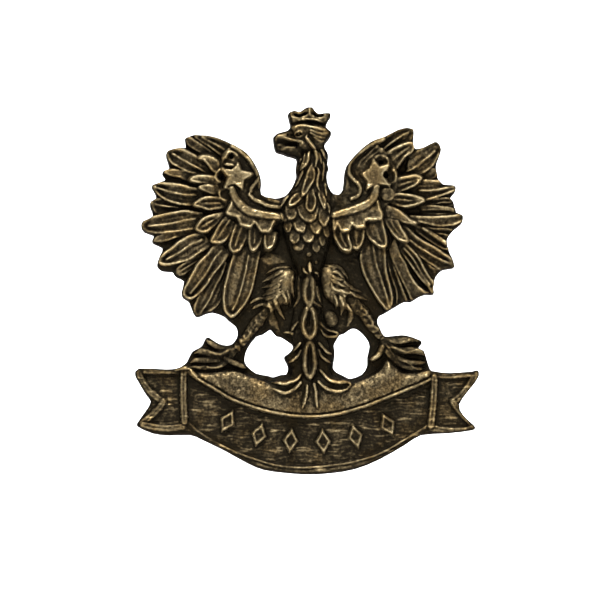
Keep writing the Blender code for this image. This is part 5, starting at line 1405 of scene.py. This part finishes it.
# ---------------------------------------------------------------- posts and clutches
# The posts' x, the room for the cloth between the back and the clutches, and radii and sheets as in the CAD
POSTS = {"left": -9.0, "right": 9.0}
CLOTH = 2.8
POST_RADIUS, HEAD_RADIUS, DISC_RADIUS, HUB_RADIUS = 0.6, 2.3, 5.75, 3.6
SHEET, SPRING_SHEET = 0.35, 0.3

# Turned profiles, as (radius, y)
POST_PROFILE = [
    # head, shank and point
    (0.0, 0.25), (2.2, 0.25), (HEAD_RADIUS, 0.35), (HEAD_RADIUS, 0.62), (2.18, 0.75), (1.2, 0.78),
    (0.8, 0.82), (0.66, 0.92), (POST_RADIUS, 1.1), (POST_RADIUS, 3.0), (POST_RADIUS, 7.4), (0.5, 7.9),
    (0.3, 8.6), (0.12, 8.93), (0.0, 9.0),
]
SOLDER_PROFILE = [
    (2.0, 0.02), (3.35, 0.02), (3.2, 0.1), (2.95, 0.17), (2.7, 0.3), (2.5, 0.46), (2.38, 0.58), (2.27, 0.62),
    (2.0, 0.55),
]
BASE_PROFILE = [
    (0.75, 0.15), (0.85, 0.06), (1.15, 0.0), (3.9, 0.0), (5.2, 0.0), (5.5, 0.04), (5.68, 0.18),
    (DISC_RADIUS, 0.4), (DISC_RADIUS, 1.0), (5.7, 1.17), (5.58, 1.28), (5.4, 1.33), (5.2, 1.32),
    (5.05, 1.25), (4.97, 1.05), (5.3, 1.0), (5.4, 0.88), (5.4, 0.45), (5.3, SHEET), (0.75, SHEET),
]
COVER_PROFILE = [
    (5.1, 0.65), (5.1, 1.0), (4.3, 1.0), (4.1, 1.04), (3.9, 1.0), (3.72, 1.08), (HUB_RADIUS, 1.3),
    (HUB_RADIUS, 3.05), (3.52, 3.3), (3.3, 3.45), (3.05, 3.5), (1.75, 3.5), (1.6, 3.54), (1.45, 3.65),
    (1.3, 3.7), (0.95, 3.7), (0.87, 3.66), (0.87, 3.37), (1.2, 3.35), (1.55, 3.15), (2.9, 3.15),
    (3.15, 3.05), (3.25, 2.85), (3.25, 0.65),
]

# Two corners of the windows that the wings come out of
WINDOW_LOW, WINDOW_HIGH = (-4.6, 1.15, -1.6), (4.6, 2.75, 1.6)

WING_STATIONS = [
    # (x, rise, half width) from the leaf's tail to the rounded end of the ear
    (-1.6, 0.0, 0.9), (-1.3, 0.0, 1.3), (0.0, 0.0, 1.3), (3.4, 0.0, 1.3), (4.0, 0.06, 1.33), (4.6, 0.3, 1.55),
    (5.0, 0.75, 1.9), (5.35, 1.35, 2.2), (5.6, 2.05, 2.2), (5.75, 2.65, 1.8), (5.8, 2.9, 1.3),
    (5.82, 3.0, 0.8),
]
WING_LEVELS = {"wing_a": (1, 1.45), "wing_b": (-1, 2.05)}  # (side of the ear, level of the leaf)

# A wing's hole: its radii where it grips the post and where it clears it, and the way from one to the other
GRIP, CLEAR, SQUEEZE = 0.65, 0.9, 0.7

# The bowed spring strip: its radius outside, its levels and its steps over a quarter turn
BOW_RADIUS, BOW_LOW, BOW_HIGH, BOW_STEPS = HUB_RADIUS - SHEET - 0.3, 1.3, 2.5, 40


def grid_faces(rows, columns, wrap_rows=False, wrap_columns=False):
    """Faces between the points of a grid, counted row by row."""
    faces = []
    for i in range(rows if wrap_rows else rows - 1):
        for k in range(columns if wrap_columns else columns - 1):
            a, b = i * columns, (i + 1) % rows * columns
            faces.append((a + k, a + (k + 1) % columns, b + (k + 1) % columns, b + k))
    return faces


def turned(name, profile, uneven=0.0, steps=96):
    """A mesh turned about the post's axis from a closed profile of (radius, y)."""
    points = []
    for angle in np.linspace(0, math.tau, steps, endpoint=False):
        wave = 1 + uneven * (math.sin(3 * angle + 0.7) + 0.6 * math.sin(7 * angle + 2.0))
        points += [(r * wave * math.cos(angle), y, r * wave * math.sin(angle)) for r, y in profile]
    return clean_mesh(name, points, grid_faces(steps, len(profile), True, True))


def prism(name, outline, low, high):
    """A mesh over an outline of (x, z), from one level to the other."""
    count = len(outline)
    points = [(x, y, z) for y in (low, high) for x, z in outline]
    sides = [(k, (k + 1) % count, count + (k + 1) % count, count + k) for k in range(count)]
    return clean_mesh(name, points, sides + [tuple(range(count)), tuple(range(count, 2 * count))])


def strip(name, side, level):
    """A wing as a sheet down the middle of its metal."""
    path = curve(WING_STATIONS, 5)
    along = np.gradient(path[:, :2], axis=0)
    along /= np.linalg.norm(along, axis=1)[:, None]
    across = np.linspace(-1, 1, 9)
    points = []
    for (x, rise, half), (dx, dy) in zip(path, along):
        middle = (x - dy * SPRING_SHEET / 2, rise + dx * SPRING_SHEET / 2)
        points += [(middle[0] * side, level + middle[1], half * k) for k in across]
    return clean_mesh(name, points, grid_faces(len(path), len(across)))


def bow(name):
    """The spring's bowed strip, beside the leaves."""
    section = [
        (BOW_RADIUS - SPRING_SHEET, BOW_LOW), (BOW_RADIUS, BOW_LOW),
        (BOW_RADIUS, BOW_HIGH), (BOW_RADIUS - SPRING_SHEET, BOW_HIGH),
    ]
    angles = [math.radians(45 + 90 * k / BOW_STEPS) for k in range(BOW_STEPS + 1)]
    points = [(r * math.cos(angle), y, r * math.sin(angle)) for angle in angles for r, y in section]
    ends = [(0, 1, 2, 3), tuple(4 * BOW_STEPS + k for k in range(4))]
    return clean_mesh(name, points, grid_faces(len(angles), 4, wrap_columns=True) + ends)


def piece(mesh, material, place, body, node, bevel, cutter=None, thickness=0.0):
    """Places a fine piece of the hardware on its body, in the stead of its CAD node."""
    name = mesh.name
    made = new_object(name, mesh, material)
    made.location = Vector(place) * MM
    if thickness:
        solid = made.modifiers.new("solid", "SOLIDIFY")
        solid.thickness = thickness * MM
        solid.offset = 0
    if cutter:
        tool = new_object(name + "_cutter", cutter)
        tool.location = made.location
        cut = made.modifiers.new("cut", "BOOLEAN")
        cut.object = tool
    soften = made.modifiers.new("soften", "BEVEL")
    soften.width = bevel * MM
    soften.segments = 2
    soften.limit_method = "ANGLE"
    soften.angle_limit = math.radians(40)
    apply_modifiers(made)
    if cutter:
        bpy.data.objects.remove(tool)
    made.data.name = name
    made.data.shade_smooth()
    made.data.set_sharp_from_angle(angle=math.radians(50))
    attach(made, body)
    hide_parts(node)


def keyhole(side, level):
    """Outline of the hole that takes the post: narrow where it grips, wide where a squeeze frees the post."""
    arc = np.radians(np.linspace(-90, 90, 25))
    outline = [(SQUEEZE + CLEAR * math.cos(a), CLEAR * math.sin(a)) for a in arc]
    outline += [(-GRIP * math.cos(a), -GRIP * math.sin(a)) for a in arc]
    return prism("keyhole", [(x * side, z) for x, z in outline], level - 1, level + 1)


def window():
    """What the windows take out of the cap."""
    (x0, y0, z0), (x1, y1, z1) = WINDOW_LOW, WINDOW_HIGH
    return prism("window", [(x0, z0), (x1, z0), (x1, z1), (x0, z1)], y0, y1)


def hardware():
    """Posts, solder and clutches, each on its own body."""
    steel = plated("post_steel", (0.36, 0.34, 0.29), (0.20, 0.19, 0.16), 0.3)
    solder = plated("solder", (0.20, 0.195, 0.18), (0.10, 0.097, 0.09), 0.42)
    brass = plated("clutch_brass", (0.32, 0.22, 0.08), (0.15, 0.10, 0.036), 0.3)
    spring = plated("spring_brass", (0.36, 0.26, 0.11), (0.20, 0.145, 0.06), 0.3)
    for label, x in POSTS.items():
        back, seat, clutch = (x, 0, 0), (x, CLOTH, 0), label + "_clutch"
        mesh = turned(label + "_post_turned", POST_PROFILE, steps=64)
        piece(mesh, steel, back, "badge", label + "_post", 0.03)
        mesh = turned(label + "_solder_bead", SOLDER_PROFILE, uneven=0.02)
        piece(mesh, solder, back, "badge", label + "_solder", 0.02)
        mesh = turned(clutch + "_disc", BASE_PROFILE)
        piece(mesh, brass, seat, clutch, clutch + "_base", 0.03)
        mesh = turned(clutch + "_cap", COVER_PROFILE)
        piece(mesh, brass, seat, clutch, clutch + "_cover", 0.04, cutter=window())
        mesh = bow(clutch + "_bow")
        piece(mesh, spring, seat, clutch, clutch + "_spring", 0.04)
        for wing_name, (side, level) in WING_LEVELS.items():
            node = clutch + "_" + wing_name
            mesh, hole = strip(node + "_strip", side, level), keyhole(side, level)
            piece(mesh, spring, seat, label + "_" + wing_name, node, 0.05, hole, SPRING_SHEET)


# ---------------------------------------------------------------- studio, in metres
# The backdrop: the floor's level and front edge, the wall behind it and its top, the radius of the turn
# from one to the other, and half the width
FLOOR, FLOOR_FRONT, WALL, WALL_TOP, TURN, STAGE_HALF = -0.06, -1.0, 0.30, 1.2, 0.12, 1.2

# Round lamps, as (name, place, target, size, power), and the strength of the white surround
LIGHTS = [
    ("key", (-0.10, -0.30, 0.36), (0, 0, -0.006), 0.12, 3.2),
    ("fill", (0.32, -0.42, 0.06), (0, 0, -0.006), 0.3, 0.8),
    ("back", (0.1, 0.22, 0.4), (0, 0.02, -0.006), 0.25, 1.3),
    ("paper", (0.0, -0.1, 0.6), (0, 0.3, 0.0), 0.5, 12.0),
]
AMBIENT = 0.36

# The camera: what it looks at, from where (in degrees), from how far, and the width it sees there
TARGET = (-0.00078, -0.002, -0.0071)
AZIMUTH, ELEVATION, DISTANCE, FRAME_WIDTH = -2, -3, 0.3, 0.0723
SENSOR = 36  # millimetres


def stage(material):
    """A pale floor that turns up into a backdrop behind the badge."""
    profile = [(FLOOR_FRONT, FLOOR)]
    for angle in np.radians(np.linspace(0, 90, 13)):
        profile.append((WALL - TURN + TURN * math.sin(angle), FLOOR + TURN - TURN * math.cos(angle)))
    profile.append((WALL, WALL_TOP))
    verts = [(side * STAGE_HALF, y, z) for y, z in profile for side in (-1, 1)]
    faces = [(2 * i, 2 * i + 1, 2 * i + 3, 2 * i + 2) for i in range(len(profile) - 1)]
    mesh = bpy.data.meshes.new("studio_floor")
    mesh.from_pydata(verts, [], faces)
    mesh.shade_smooth()
    new_object("studio_floor", mesh, material)


def area_light(name, place, target, size, power):
    """A round lamp that faces its target."""
    data = bpy.data.lights.new(name, "AREA")
    data.shape = "DISK"
    data.size = size
    data.energy = power
    made = bpy.data.objects.new(name, data)
    made.location = place
    made.rotation_euler = (Vector(target) - Vector(place)).to_track_quat("-Z", "Y").to_euler()
    bpy.context.scene.collection.objects.link(made)


def studio():
    """Backdrop, lamps and an even white surround."""
    stage(paper("studio_paper", (0.93, 0.93, 0.93)))
    for light in LIGHTS:
        area_light(*light)
    world = bpy.data.worlds.new("studio")
    world.use_nodes = True
    background = world.node_tree.nodes["Background"]
    background.inputs["Color"].default_value = (1, 1, 1, 1)
    background.inputs["Strength"].default_value = AMBIENT
    bpy.context.scene.world = world
    bpy.context.scene.view_settings.view_transform = "Standard"


def camera():
    """Seen from a little to the left and a little below, as a product shot."""
    azimuth, elevation = math.radians(AZIMUTH), math.radians(ELEVATION)
    flat = Vector((math.sin(azimuth), -math.cos(azimuth), 0))
    direction = flat * math.cos(elevation) + Vector((0, 0, math.sin(elevation)))
    data = bpy.data.cameras.new("camera")
    data.sensor_width = SENSOR
    data.lens = SENSOR * DISTANCE / FRAME_WIDTH
    data.clip_start = 0.01
    made = bpy.data.objects.new("camera", data)
    made.location = Vector(TARGET) + direction * DISTANCE
    made.rotation_euler = (-direction).to_track_quat("-Z", "Y").to_euler()
    bpy.context.scene.collection.objects.link(made)
    bpy.context.scene.camera = made


camera()
studio()
casting(antique_brass())
hardware()
